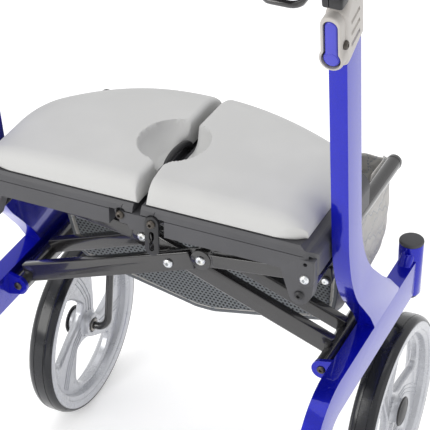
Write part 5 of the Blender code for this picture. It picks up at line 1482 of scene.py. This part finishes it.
@dataclass
class Seat:
    """Two charcoal trays, the bridge between them, the pull handle and the slotted link."""

    recess: float = 0.0078
    roll: float = 0.013
    corner: float = 0.018
    screw_x: float = 0.2018
    screw_z: float = 0.4935
    recess_depth: float = 0.0022
    ledge_z: float = 0.5222
    margin: float = 0.0065
    hole_x: float = 0.2020
    hole_z: float = 0.5127

    def tray(self, side: Side) -> None:
        """Copy a tray and cut its screw recesses, slits and shadow lines."""
        sign, word = side.value, side.word
        near = PLAN.seat_near
        tray = cad_copy(f"seat_tray_{word}")
        low, high, outer = 0.44, PLAN.tray_top, 0.2126
        quarter = math.pi / 2
        section = [(-0.02, low), (outer, low), *arc((outer - self.roll, high - self.roll), self.roll, 0, quarter, 12),
                   (-0.02, high)]
        plan = [(-0.02, near), *arc((outer - self.corner, near + self.corner), self.corner, -quarter, 0, 12)]
        pad = Pad(side)
        for step in range(18):
            across = outer - step * 0.0116
            plan.append((across, min(PLAN.seat_far, pad.far_y(across) + self.margin)))
        plan.append((-0.02, PLAN.seat_far))
        plan = [Vector((p[0] * sign, AXLE_Y + p[1])) for p in plan]
        tray.with_tools("INTERSECT", [Solid.prism(mirrored(section, side), 0.4, Plane.XZ, AXLE_Y - 0.16)])
        tray.with_tools("INTERSECT", [Solid.prism(plan, 0.3, Plane.XY, 0.5)])
        tab = bar(Vector((self.screw_x, 0.518)), Vector((self.screw_x, self.screw_z)), 0.0105, False, True)
        tab = Solid.prism(mirrored(tab, side), 0.010, Plane.XZ, AXLE_Y + near + 0.0046).rounded(0.0012, 2, 50)
        tray = tray.plus(tab)
        x = sign * PLAN.pin_x
        cup = Solid.cylinder(self.recess + 0.0012, spot(x, near - 0.01, PLAN.pin_z),
                             spot(x, near + self.recess_depth, PLAN.pin_z), 40)
        slit = Solid.block((-0.0004, -0.01, 0.0), (0.0004, self.recess_depth + 0.0006, 0.0125))
        slit.move(Matrix.Translation(spot(x, near, PLAN.pin_z + 0.0050)) @ Matrix.Rotation(0.30, 4, "Y"))
        line = Solid.block(spot(-0.3, near - 0.01, self.ledge_z - 0.0009),
                           spot(0.3, near + 0.0009, self.ledge_z + 0.0001))
        hole = Solid.cylinder(0.0024, spot(sign * self.hole_x, near - 0.01, self.hole_z),
                              spot(sign * self.hole_x, near + 0.004, self.hole_z), 24)
        tray = tray.minus(cup, slit, line, hole).flat()
        made = tray.ready(f"tray_shell_{word}", CHARCOAL, f"tray_{word}", [f"seat_tray_{word}"], 28)
        soften(made, 0.0012, 3, 30)
        drive_head(sign * self.screw_x, near, self.screw_z, 0.0056, 0.0034, ZINC, f"tray_screw_{word}", f"tray_{word}",
                   (), near + 0.003, 0.003)

    def link(self) -> None:
        """Short slotted link that hangs from the right hinge screw."""
        x, z, middle = PLAN.pin_x, PLAN.pin_z, AXLE_Y + PLAN.seat_near - 0.0018
        outline = bar(Vector((x, z)), Vector((x, z - 0.0335)), 0.0085, True, True)
        plate = Solid.prism(outline, 0.003, Plane.XZ, middle)
        plate.rounded(0.0006, 2, 50)
        slots = [Solid.prism(bar(Vector((x, z - top)), Vector((x, z - low)), 0.0031, True, True), 0.02,
                             Plane.XZ, middle) for top, low in ((0.0135, 0.0195), (0.0270, 0.0330))]
        neck = Solid.block((x - 0.0019, middle - 0.01, z - 0.0270), (x + 0.0019, middle + 0.01, z - 0.0190))
        pin = Solid.cylinder(0.0033, (x, middle - 0.01, z), (x, middle + 0.01, z), 24)
        plate.minus(*slots, neck, pin).ready("slotted_link", BLACK, "link", ["fold_link"], 32)

    def pull(self) -> None:
        """Make the dark arch that stands on the bridge in the hand recess."""
        base, high = 0.5221 - 0.003, 0.5535
        near, far = -0.193, -0.120
        count = 25
        path = []
        for i in range(count):
            share = i / (count - 1)
            angle = math.pi * share
            y = (near + far) / 2 - (far - near) / 2 * math.cos(angle)
            z = base + (high - base) * math.sin(angle) ** 0.45 * (1 - 0.42 * share ** 1.6)
            path.append(spot(0, y, z))
        section = [(0.0042 * math.copysign(abs(math.cos(a)) ** 0.7, math.cos(a)),
                    0.0024 * math.copysign(abs(math.sin(a)) ** 0.7, math.sin(a)))
                   for a in [math.tau * (k + 0.5) / 20 for k in range(20)]]
        sizes = [(1.0, 1.0 if 0.12 < i / (count - 1) < 0.88 else 0.72) for i in range(count)]
        Solid.swept(section, path, (1, 0, 0), sizes).ready(
            "lift_arch", BLACK, "bridge", ["pull_handle"], 45)

    def build(self) -> None:
        """Make the seat."""
        for side in Side:
            sign, word = side.value, side.word
            self.tray(side)
            near = PLAN.seat_near - (0.0036 if side is Side.RIGHT else 0.0)
            far = PLAN.seat_far - 0.0055 + 0.0053
            drive_head(sign * PLAN.pin_x, near, PLAN.pin_z, 0.0052, 0.0036, BRONZE, f"hinge_screw_{word}", "bridge",
                       [f"hinge_pin_{word}"], far, 0.003)
            Pad(side).build()
        redress("seat_bridge", CHARCOAL, "bridge", 0.0005, 2)
        self.link()
        self.pull()


@dataclass
class Bag:
    """Cloth bag between the rails: quilted sides and front, a net panel at the rear and a bound edge."""

    top_z: float = 0.474
    side_low: float = 0.316
    keel: float = 0.275
    top_x: float = 0.186
    low_x: float = 0.170
    hem_z: float = 0.457
    near_top: float = -0.125
    near_low: float = -0.084
    front: float = 0.066
    wall: float = 0.0016
    keep: float = 0.16

    def outline(self, count: int) -> list[tuple[float, float, float]]:
        """Section across the frame, from the right top edge round to the left one.

        Args:
            count: Number of points.

        Returns:
            Points of x, z and the length along the section.
        """
        half = [(self.top_x, self.top_z), (self.top_x - 0.001, self.top_z - 0.024),
                (self.top_x - 0.003, self.top_z - 0.064), (self.top_x - 0.009, self.top_z - 0.125),
                (self.low_x + 0.001, self.side_low + 0.004),
                (self.low_x - 0.010, self.side_low - 0.006),
                (self.low_x / 2, (self.side_low + self.keel) / 2 - 0.0035), (0.012, self.keel + 0.0006)]
        corners = [Vector(p) for p in half] + [Vector((-x, z)) for x, z in half[::-1]]
        lengths = [0.0]
        for before, after in zip(corners, corners[1:]):
            lengths.append(lengths[-1] + (after - before).length)
        rows = []
        for i in range(count):
            reach = lengths[-1] * i / (count - 1)
            k = max(j for j in range(len(lengths) - 1) if lengths[j] <= reach + 1e-9)
            share = (reach - lengths[k]) / (lengths[k + 1] - lengths[k])
            point = corners[k].lerp(corners[k + 1], share)
            rows.append((point.x, point.y, reach))
        return rows

    def near_y(self, z: float) -> float:
        """Place of the rear panel at a height, from the front axle."""
        lift = min(max((z - self.keel) / (self.top_z - self.keel), 0.0), 1.0)
        return self.near_low + (self.near_top - self.near_low) * lift ** 1.3

    def sag(self, u: float, v: float, size: float) -> float:
        """Soft irregular fold height at a place on the cloth."""
        broad = noise.noise(Vector((u / size, v / size, 3.7)))
        fine = noise.noise(Vector((u / size * 2.3, v / size * 2.3, 9.1)))
        return broad * 0.6 + fine * 0.3

    def sheet_object(self, rows: list[list[Vector]], marks: list[list[Pair]], name: str, finish: Finish,
                     stands_for: Sequence[str]) -> bpy.types.Object:
        """Turn a grid of points into a sheet of cloth with its own UV map in metres.

        Args:
            rows: Points in rows.
            marks: UV of each point.
            name: The piece's name.
            finish: Its finish.
            stands_for: Nodes that it replaces.

        Returns:
            The object.
        """
        made = Solid()
        count, length = len(rows), len(rows[0])
        bmesh.ops.create_grid(made.mesh, x_segments=count - 1, y_segments=length - 1, size=0.5, calc_uvs=False)
        layer = made.mesh.loops.layers.uv.new("UVMap")
        keys = {}
        for vert in made.mesh.verts:
            i = round((vert.co.x + 0.5) * (count - 1))
            j = round((vert.co.y + 0.5) * (length - 1))
            keys[vert] = (i, j)
            vert.co = rows[i][j]
        for face in made.mesh.faces:
            for loop in face.loops:
                i, j = keys[loop.vert]
                loop[layer].uv = marks[i][j]
        bmesh.ops.recalc_face_normals(made.mesh, faces=made.mesh.faces)
        piece = made.ready(name, finish, "bag", stands_for, 60)
        thick = piece.modifiers.new("Wall", "SOLIDIFY")
        thick.thickness = self.wall
        thick.offset = 0.0
        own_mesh(piece)
        return piece

    def shell(self) -> None:
        """Make the quilted sides and bottom in one strip."""
        across, deep = 130, 48
        outline = self.outline(across)
        total = outline[-1][2]
        rows, marks = [], []
        for x, z, reach in outline:
            near = self.near_y(z)
            row, mark = [], []
            for j in range(deep):
                share = j / (deep - 1)
                y = near + (self.front - near) * share
                top = self.hem_z if z > self.hem_z and share < 0.62 else self.top_z
                droop = max(0.0, (share - 0.80) / 0.20)
                height = min(z, top - 0.014 * smooth((share - 0.86) / 0.14))
                ends = smooth(share / 0.12) * smooth((1 - share) / 0.10)
                rim = smooth(min(reach, total - reach) / 0.03)
                puff = 0.0045 * ends * rim * (self.sag(reach, y, 0.045) + 0.35)
                quilt = 0.0016 * abs(math.sin(math.pi * (reach + y * 0.42) / 0.034)) \
                    * abs(math.sin(math.pi * (reach - y * 0.42) / 0.034)) ** 0.5 * ends
                swell = 0.004 * math.sin(math.pi * share) * rim
                outward = puff + quilt + swell
                if abs(x) > 0.150:
                    lift = min(max((z - self.side_low) / (self.top_z - self.side_low), 0.0), 1.0)
                    belly = 0.011 * math.sin(math.pi * lift ** 0.65) ** 0.7 * ends
                    wide = math.copysign(min(abs(x) + outward * 0.6 - 0.0030 + belly, 0.2020), x)
                    row.append(spot(wide * (1 - 0.045 * droop ** 2), y, height))
                else:
                    row.append(spot(x, y, height - outward * 0.5 + 0.003))
                mark.append((reach, y))
            rows.append(row)
            marks.append(mark)
        area = total * 0.155
        self.sheet_object(rows, marks, "bag_quilted_shell", QUILT, ["bag"])

    def panel(self, name: str, finish: Finish, front: bool) -> None:
        """Make the rear net panel or the drooping front panel."""
        count, levels = 60, 44
        rows, marks = [], []
        for i in range(count):
            share = i / (count - 1) * 2 - 1
            row, mark = [], []
            for j in range(levels):
                up = j / (levels - 1)
                half_low = abs(share) * self.low_x
                bottom = self.keel + (self.side_low - self.keel) * min(half_low / (self.low_x - 0.010), 1.0)
                top = self.top_z if front else self.hem_z - 0.002
                if front:
                    top -= 0.030 * (1 - abs(share) ** 3.0) + 0.014 * smooth((abs(share) - 0.80) / 0.20)
                z = bottom + (top - bottom) * up
                lift = min(max((z - self.side_low) / (self.top_z - self.side_low), 0.0), 1.0)
                wide = self.low_x - 0.0035 + (self.top_x - self.low_x) * lift
                x = share * wide
                y = self.near_y(z) + 0.0012 if not front else self.front - 0.0012
                edge = smooth((1 - abs(share)) / 0.15) * smooth(up / 0.12)
                wave = self.sag(x, z, 0.06) * 0.0035 * edge
                y += wave - 0.0035 * edge if front else wave + 0.001 * edge
                row.append(spot(x, y, z))
                mark.append((x + 0.25, z))
            rows.append(row)
            marks.append(mark)
        self.sheet_object(rows, marks, name, finish, [])

    def tape(self, name: str, points: Sequence[Vector], up: Sequence[float]) -> None:
        """Make a strip of binding along an edge.

        Args:
            name: The piece's name.
            points: The edge.
            up: Direction square to the strip's face.
        """
        section = [(0.0024 * math.copysign(abs(math.cos(a)) ** 0.5, math.cos(a)), 0.0011 * math.sin(a))
                   for a in [math.tau * k / 16 for k in range(16)]]
        strip = Solid.swept(section, points, up)
        layer = strip.mesh.loops.layers.uv.new("UVMap")
        total = sum((b - a).length for a, b in zip(points, points[1:]))
        for face in strip.mesh.faces:
            for loop in face.loops:
                index = min(range(len(points)), key=lambda k: (points[k] - loop.vert.co).length_squared)
                along = total * index / (len(points) - 1)
                loop[layer].uv = ((loop.vert.co - points[index]).dot(Vector(up)) + 0.0024, along)
        piece = strip.ready(name, TAPE, "bag", (), 60)
        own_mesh(piece)

    def build(self) -> None:
        """Make the bag."""
        self.shell()
        self.panel("bag_net_panel", NET, False)
        self.panel("bag_front_panel", QUILT, True)
        hem = [spot(x, self.near_y(min(z, self.hem_z)) + 0.0005, min(z, self.hem_z)) for x, z, _ in self.outline(120)]
        hem = [p for i, p in enumerate(hem) if i == 0 or (p - hem[i - 1]).length > 0.0005]
        self.tape("bag_rear_binding", hem, (0, 1, 0.15))


@dataclass
class HandleSet:
    """Clamp casing, lever, handle tube, grip and brake loop on one post."""

    side: Side
    half: float = 0.0120
    neck: float = 0.0250
    throat: float = 0.0130
    front: float = 0.0240
    top_z: float = 0.850
    bottom_z: float = 0.7590
    rear: float = 0.0350
    shift: float = -0.0015
    hinge_z: float = 0.812
    reach: float = 0.040
    axis: float = 0.0300
    knob: float = 0.0090
    lever_half: float = 0.0070
    boss_half: float = 0.0112
    boss_foot: float = 0.0132
    loop_length: float = 0.104
    loop_drop: float = 0.0132

    def x(self) -> float:
        """Middle of the post across."""
        return self.side.value * PLAN.frame_x

    def keyhole(self, half: float, foot: float, top: float, corner: float) -> list[Vector]:
        """Neck with a rounded top over a round foot; heights count from the foot's middle.

        Args:
            half: Half of the neck's width.
            foot: Radius of the foot.
            top: Height of the neck.
            corner: Radius of the neck's top corners.

        Returns:
            The outline.
        """
        shoulder = math.acos(half / foot)
        outline = arc((0, 0), foot, shoulder, -math.pi - shoulder, 40)
        outline += arc((corner - half, top - corner), corner, math.pi, math.pi / 2, 8)
        return outline + arc((half - corner, top - corner), corner, math.pi / 2, 0, 8)

    def on_post(self, outline: Sequence[Vector], inner: float, outer: float, width: float = 0.0) -> Solid:
        """Thicken an outline on the post's rear side, between two distances from the post's axis.

        Args:
            outline: The outline; heights count from the lever's knob.
            inner: Distance of its front face.
            outer: Distance of its rear face.
            width: Width of the rounding on the rear edge.

        Returns:
            The solid.
        """
        made = Solid.prism(outline, outer - inner, Plane.XZ, -(inner + outer) / 2)
        if width:
            rear = -outer + 1e-5
            made.rounded(width, 4, 50, lambda e: all(v.co.y < rear for v in e.verts))
        foot = PLAN.post(self.hinge_z - self.reach)
        return made.move(Matrix.Translation((self.x() + self.shift * self.side.value, foot.x, foot.y))
                         @ Matrix.Rotation(PLAN.lean, 4, "X"))

    def casing(self) -> None:
        """Casing with a raised keyhole rim round the lever, three slanted grooves and its screws."""
        low, high, x, word = self.bottom_z, self.top_z, self.x(), self.side.word
        outline = [PLAN.post(low, self.neck), PLAN.post(low + 0.0010, self.neck * 0.6),
                   PLAN.post(low + 0.0060, 0.0), PLAN.post(low + 0.0130, -self.front),
                   PLAN.post(high, -self.front), PLAN.post(high, self.throat),
                   PLAN.post(0.8345, self.throat), PLAN.post(0.8285, self.throat + 0.0015),
                   PLAN.post(0.8230, self.throat + 0.0055), PLAN.post(0.8190, self.neck)]
        shell = Solid.prism(outline, 2 * self.half, Plane.YZ, x).rounded(0.0052, 6, 48)
        slot_top = self.reach + 0.0053
        rim = self.keyhole(self.boss_half, self.boss_foot, slot_top + 0.0042, 0.0100)
        shell = shell.plus(self.on_post(rim, 0.015, self.rear, 0.0022))
        half = 0.0195 + 0.0003
        line = [PLAN.post(PLAN.post_top + 0.0003), PLAN.post(low - 0.05)]
        room = Solid.prism(band(line, [half] * 2, [half] * 2), 0.0206, Plane.YZ, x).rounded(0.003, 3, 60)
        half = 0.0165 + 0.0004
        line = [PLAN.post(high + 0.03), PLAN.post(PLAN.post_top - 0.01)]
        bore = Solid.prism(band(line, [half] * 2, [half] * 2), 0.0154, Plane.YZ, x).rounded(0.0036, 3, 60)
        inside = self.keyhole(self.lever_half + 0.0010, self.knob + 0.0016, slot_top, self.lever_half + 0.0008)
        slot = self.on_post(inside, self.rear - 0.0185, self.rear + 0.01)
        tools = [room, bore, slot]
        for height in (0.8062, 0.7930, 0.7802):
            start, end = PLAN.post(height - 0.0020, 0.0125), PLAN.post(height + 0.0020, -0.0110)
            for flank in (1, -1):
                face = x + flank * self.half
                tools.append(Solid.cylinder(0.0025, (face, *start), (face, *end), 14))
        seat = PLAN.post(0.7865, 0.0255)
        for flank in (1, -1):
            face = x + flank * self.half
            tools.append(Solid.cylinder(0.0050, (face - flank * 0.0022, *seat), (face + flank * 0.01, *seat), 32))
        shell = shell.minus(*tools).flat()
        made = shell.ready(f"casing_shell_{word}", CASING, f"frame_{word}", [f"clamp_casing_{word}"], 34)
        soften(made, 0.0004, 2, 40)
        for flank, name in ((1, "outer"), (-1, "inner")):
            face = x + flank * self.half
            rows = [(0.0, -0.0020), (0.0046, -0.0020), (0.0046, 0.0003), (0.0038, 0.0014), (0.0020, 0.0018),
                    (0.0014, 0.0004), (0.0, 0.0002)]
            screw = Solid.turned([(r, face + flank * h) for r, h in rows], Axle.X, (0, *seat), 32)
            screw.ready(f"casing_screw_{name}_{word}", BRONZE, f"frame_{word}", (), 40)

    def lever(self) -> None:
        """Narrow pillow-shaped lever with a round knob and a raised arc on it."""
        word = self.side.word
        half, knob = self.lever_half, self.knob
        shoulder = math.acos(half / knob)
        outline = arc((0, 0), knob, shoulder, -math.pi - shoulder, 40)
        outline += arc((0, self.reach - 0.0030), half, math.pi, 0, 24)
        plate = self.on_post(outline, self.axis - 0.0030, self.axis + 0.0040, 0.0026)
        foot = PLAN.post(self.hinge_z - self.reach, self.axis + 0.0036)
        middle = self.x() + self.shift * self.side.value
        path = []
        for step in range(19):
            angle = math.radians(10 + 160 * step / 18)
            across, up = 0.0066 * math.cos(angle), 0.0066 * math.sin(angle)
            path.append(Vector((middle + across, foot.x - up * math.sin(PLAN.lean), foot.y + up * math.cos(PLAN.lean))))
        arch = Solid.swept(circle(0.0008, 10), path, (0, -1, 0))
        made = plate.beside(arch).ready(f"lever_blade_{word}", LEVER, f"clamp_{word}", [f"clamp_lever_{word}"], 45)
        soften(made, 0.0003, 1, 45)

    def clip(self) -> None:
        """Black two-part clip on the casing's neck."""
        word, x = self.side.word, self.x()
        outline = [PLAN.post(0.8300, self.throat + 0.0050), PLAN.post(0.8300, 0.0335), PLAN.post(0.8400, 0.0345),
                   PLAN.post(0.8480, 0.0290), PLAN.post(0.8480, self.throat + 0.0003),
                   PLAN.post(0.8345, self.throat + 0.0003)]
        block = Solid.prism(outline, 0.0220, Plane.YZ, x).rounded(0.0028, 4, 35)
        seam_x = x - 0.0030
        seam = [PLAN.post(0.81, 0.0318), PLAN.post(0.86, 0.0318), PLAN.post(0.86, 0.05), PLAN.post(0.81, 0.05)]
        foot = [PLAN.post(0.8313, 0.0), PLAN.post(0.8313, 0.05), PLAN.post(0.80, 0.05), PLAN.post(0.80, 0.0)]
        cuts = [Solid.prism(seam, 0.0009, Plane.YZ, seam_x), Solid.prism(foot, 0.0009, Plane.YZ, seam_x)]
        block.minus(*cuts).ready(f"strap_clip_{word}", BLACK, f"frame_{word}", [f"backrest_bracket_{word}"], 38)

    def loop(self) -> None:
        """Closed loop of bent rod close under the grip."""
        word = self.side.word
        pivot = Vector(CAD_AXIS[word])
        half, rear, drop = 0.0175, -self.loop_length, -self.loop_drop
        ring = [(0, 0, 0), (half, 0, 0), (half, -0.020, drop * 0.75), (half, rear, drop), (-half, rear, drop),
                (-half, -0.020, drop * 0.75), (-half, 0, 0), (0.002, 0, 0)]
        path = bent([pivot + Vector(p) for p in ring], 0.009, 8)
        Solid.swept(circle(0.0035, 16), path, (0, 0, 1)).ready(
            f"brake_loop_{word}", ARM_BLACK, f"brake_{word}", [f"brake_lever_{word}"], 50)

    def build(self) -> None:
        """Make the casing, lever, clip and loop, and dress the rest of the handle."""
        word = self.side.word
        self.casing()
        self.lever()
        self.clip()
        self.loop()
        redress(f"handle_tube_{word}", TUBE, f"handle_{word}", 0.0005, 2)
        redress(f"hand_grip_{word}", GRIP, f"handle_{word}", 0.0008, 3)
        redress(f"brake_housing_{word}", BLACK, f"handle_{word}", 0.0008, 3)
        redress(f"brake_shoe_{word}", BLACK, f"shoe_{word}", 0.0008, 3)


@dataclass
class Studio:
    """Pale floor, soft lights and the camera."""

    lens: float = 147.47
    place: tuple[float, float, float] = (0.7567, -1.49445, 1.5864)
    turn: tuple[float, float] = (56.86, 24.54)

    def floor(self) -> None:
        """Lay a wide pale floor."""
        made = Solid()
        bmesh.ops.create_grid(made.mesh, x_segments=4, y_segments=4, size=6)
        floor = made.raw("studio_floor")
        recipe = Recipe("studio_paper")
        where = recipe.place()
        tone = recipe.mix(recipe.cloud(where, 0.5, 3.0), (0.86, 0.86, 0.865), (0.90, 0.90, 0.90))
        recipe.feed(Base_Color=tone, Roughness=recipe.cloud(where, 0.002, 2.0) * 0.1 + 0.85,
                    Emission_Color=(1.0, 1.0, 1.0, 1.0), Emission_Strength=0.32)
        floor.data.materials.append(recipe.material)
        floor.location.z = -0.0002

    def lamp(self, name: str, place: Sequence[float], aim: Sequence[float], size: Pair, watts: float,
             colour: Colour = (1, 1, 1)) -> None:
        """Hang a soft panel light.

        Args:
            name: Its name.
            place: Where it hangs.
            aim: Point that it faces.
            size: Width and height.
            watts: Its power.
            colour: Its colour.
        """
        light = bpy.data.lights.new(name, "AREA")
        light.shape = "RECTANGLE"
        light.size, light.size_y = size
        light.energy = watts
        light.color = colour
        made = bpy.data.objects.new(name, light)
        made.location = place
        made.rotation_euler = (Vector(aim) - Vector(place)).to_track_quat("-Z", "Y").to_euler()
        bpy.context.scene.collection.objects.link(made)

    def sky(self) -> None:
        """Fill the surroundings with even white light."""
        world = bpy.data.worlds.new("studio_sky")
        bpy.context.scene.world = world
        world.use_nodes = True
        back = world.node_tree.nodes["Background"]
        back.inputs["Color"].default_value = (1.0, 1.0, 1.0, 1)
        back.inputs["Strength"].default_value = 0.80

    def camera(self) -> None:
        """Set the camera at the photograph's view."""
        data = bpy.data.cameras.new("view")
        data.lens = self.lens
        data.sensor_width = 36
        data.clip_end = 50
        made = bpy.data.objects.new("view", data)
        made.location = self.place
        made.rotation_euler = (math.radians(self.turn[0]), 0, math.radians(self.turn[1]))
        bpy.context.scene.collection.objects.link(made)
        bpy.context.scene.camera = made

    def build(self) -> None:
        """Set up the whole studio."""
        self.camera()
        self.floor()
        self.sky()
        bpy.context.scene.view_settings.view_transform = "Standard"
        middle = (0, 0, 0.45)
        self.lamp("panel_near", (-1.5, -2.2, 1.6), middle, (1.8, 1.6), 34, (1.0, 0.99, 0.96))
        self.lamp("panel_right", (2.5, -0.2, 1.2), middle, (2.2, 1.8), 7)
        self.lamp("panel_top", (-0.3, 0.3, 2.8), middle, (2.4, 2.4), 16)


def build_wheels() -> None:
    """Make the four wheels and both forks."""
    for side in Side:
        sign, word = side.value, side.word
        front = Vector((sign * PLAN.frame_x, AXLE_Y, PLAN.front_radius))
        Wheel("front", f"front_wheel_{word}", side, front, PLAN.front_radius, PLAN.front_width, 0.00535,
              FRONT_PHASE[side]).build()
        rear = Vector((sign * PLAN.rear_x, *PLAN.rear_axle()))
        Wheel("rear", f"rear_wheel_{word}", side, rear, PLAN.rear_radius, PLAN.rear_width, 0.00635,
              REAR_PHASE[side]).build()
        CasterFork(side).build()


def main() -> None:
    """Build the looks in order."""
    logging.basicConfig(level=logging.INFO, format="%(message)s")
    Studio().build()
    for side in Side:
        SideTubes(side).build()
    build_wheels()
    Fold().build()
    Seat().build()
    Bag().build()
    for side in Side:
        HandleSet(side).build()


if __name__ == "__main__":
    main()
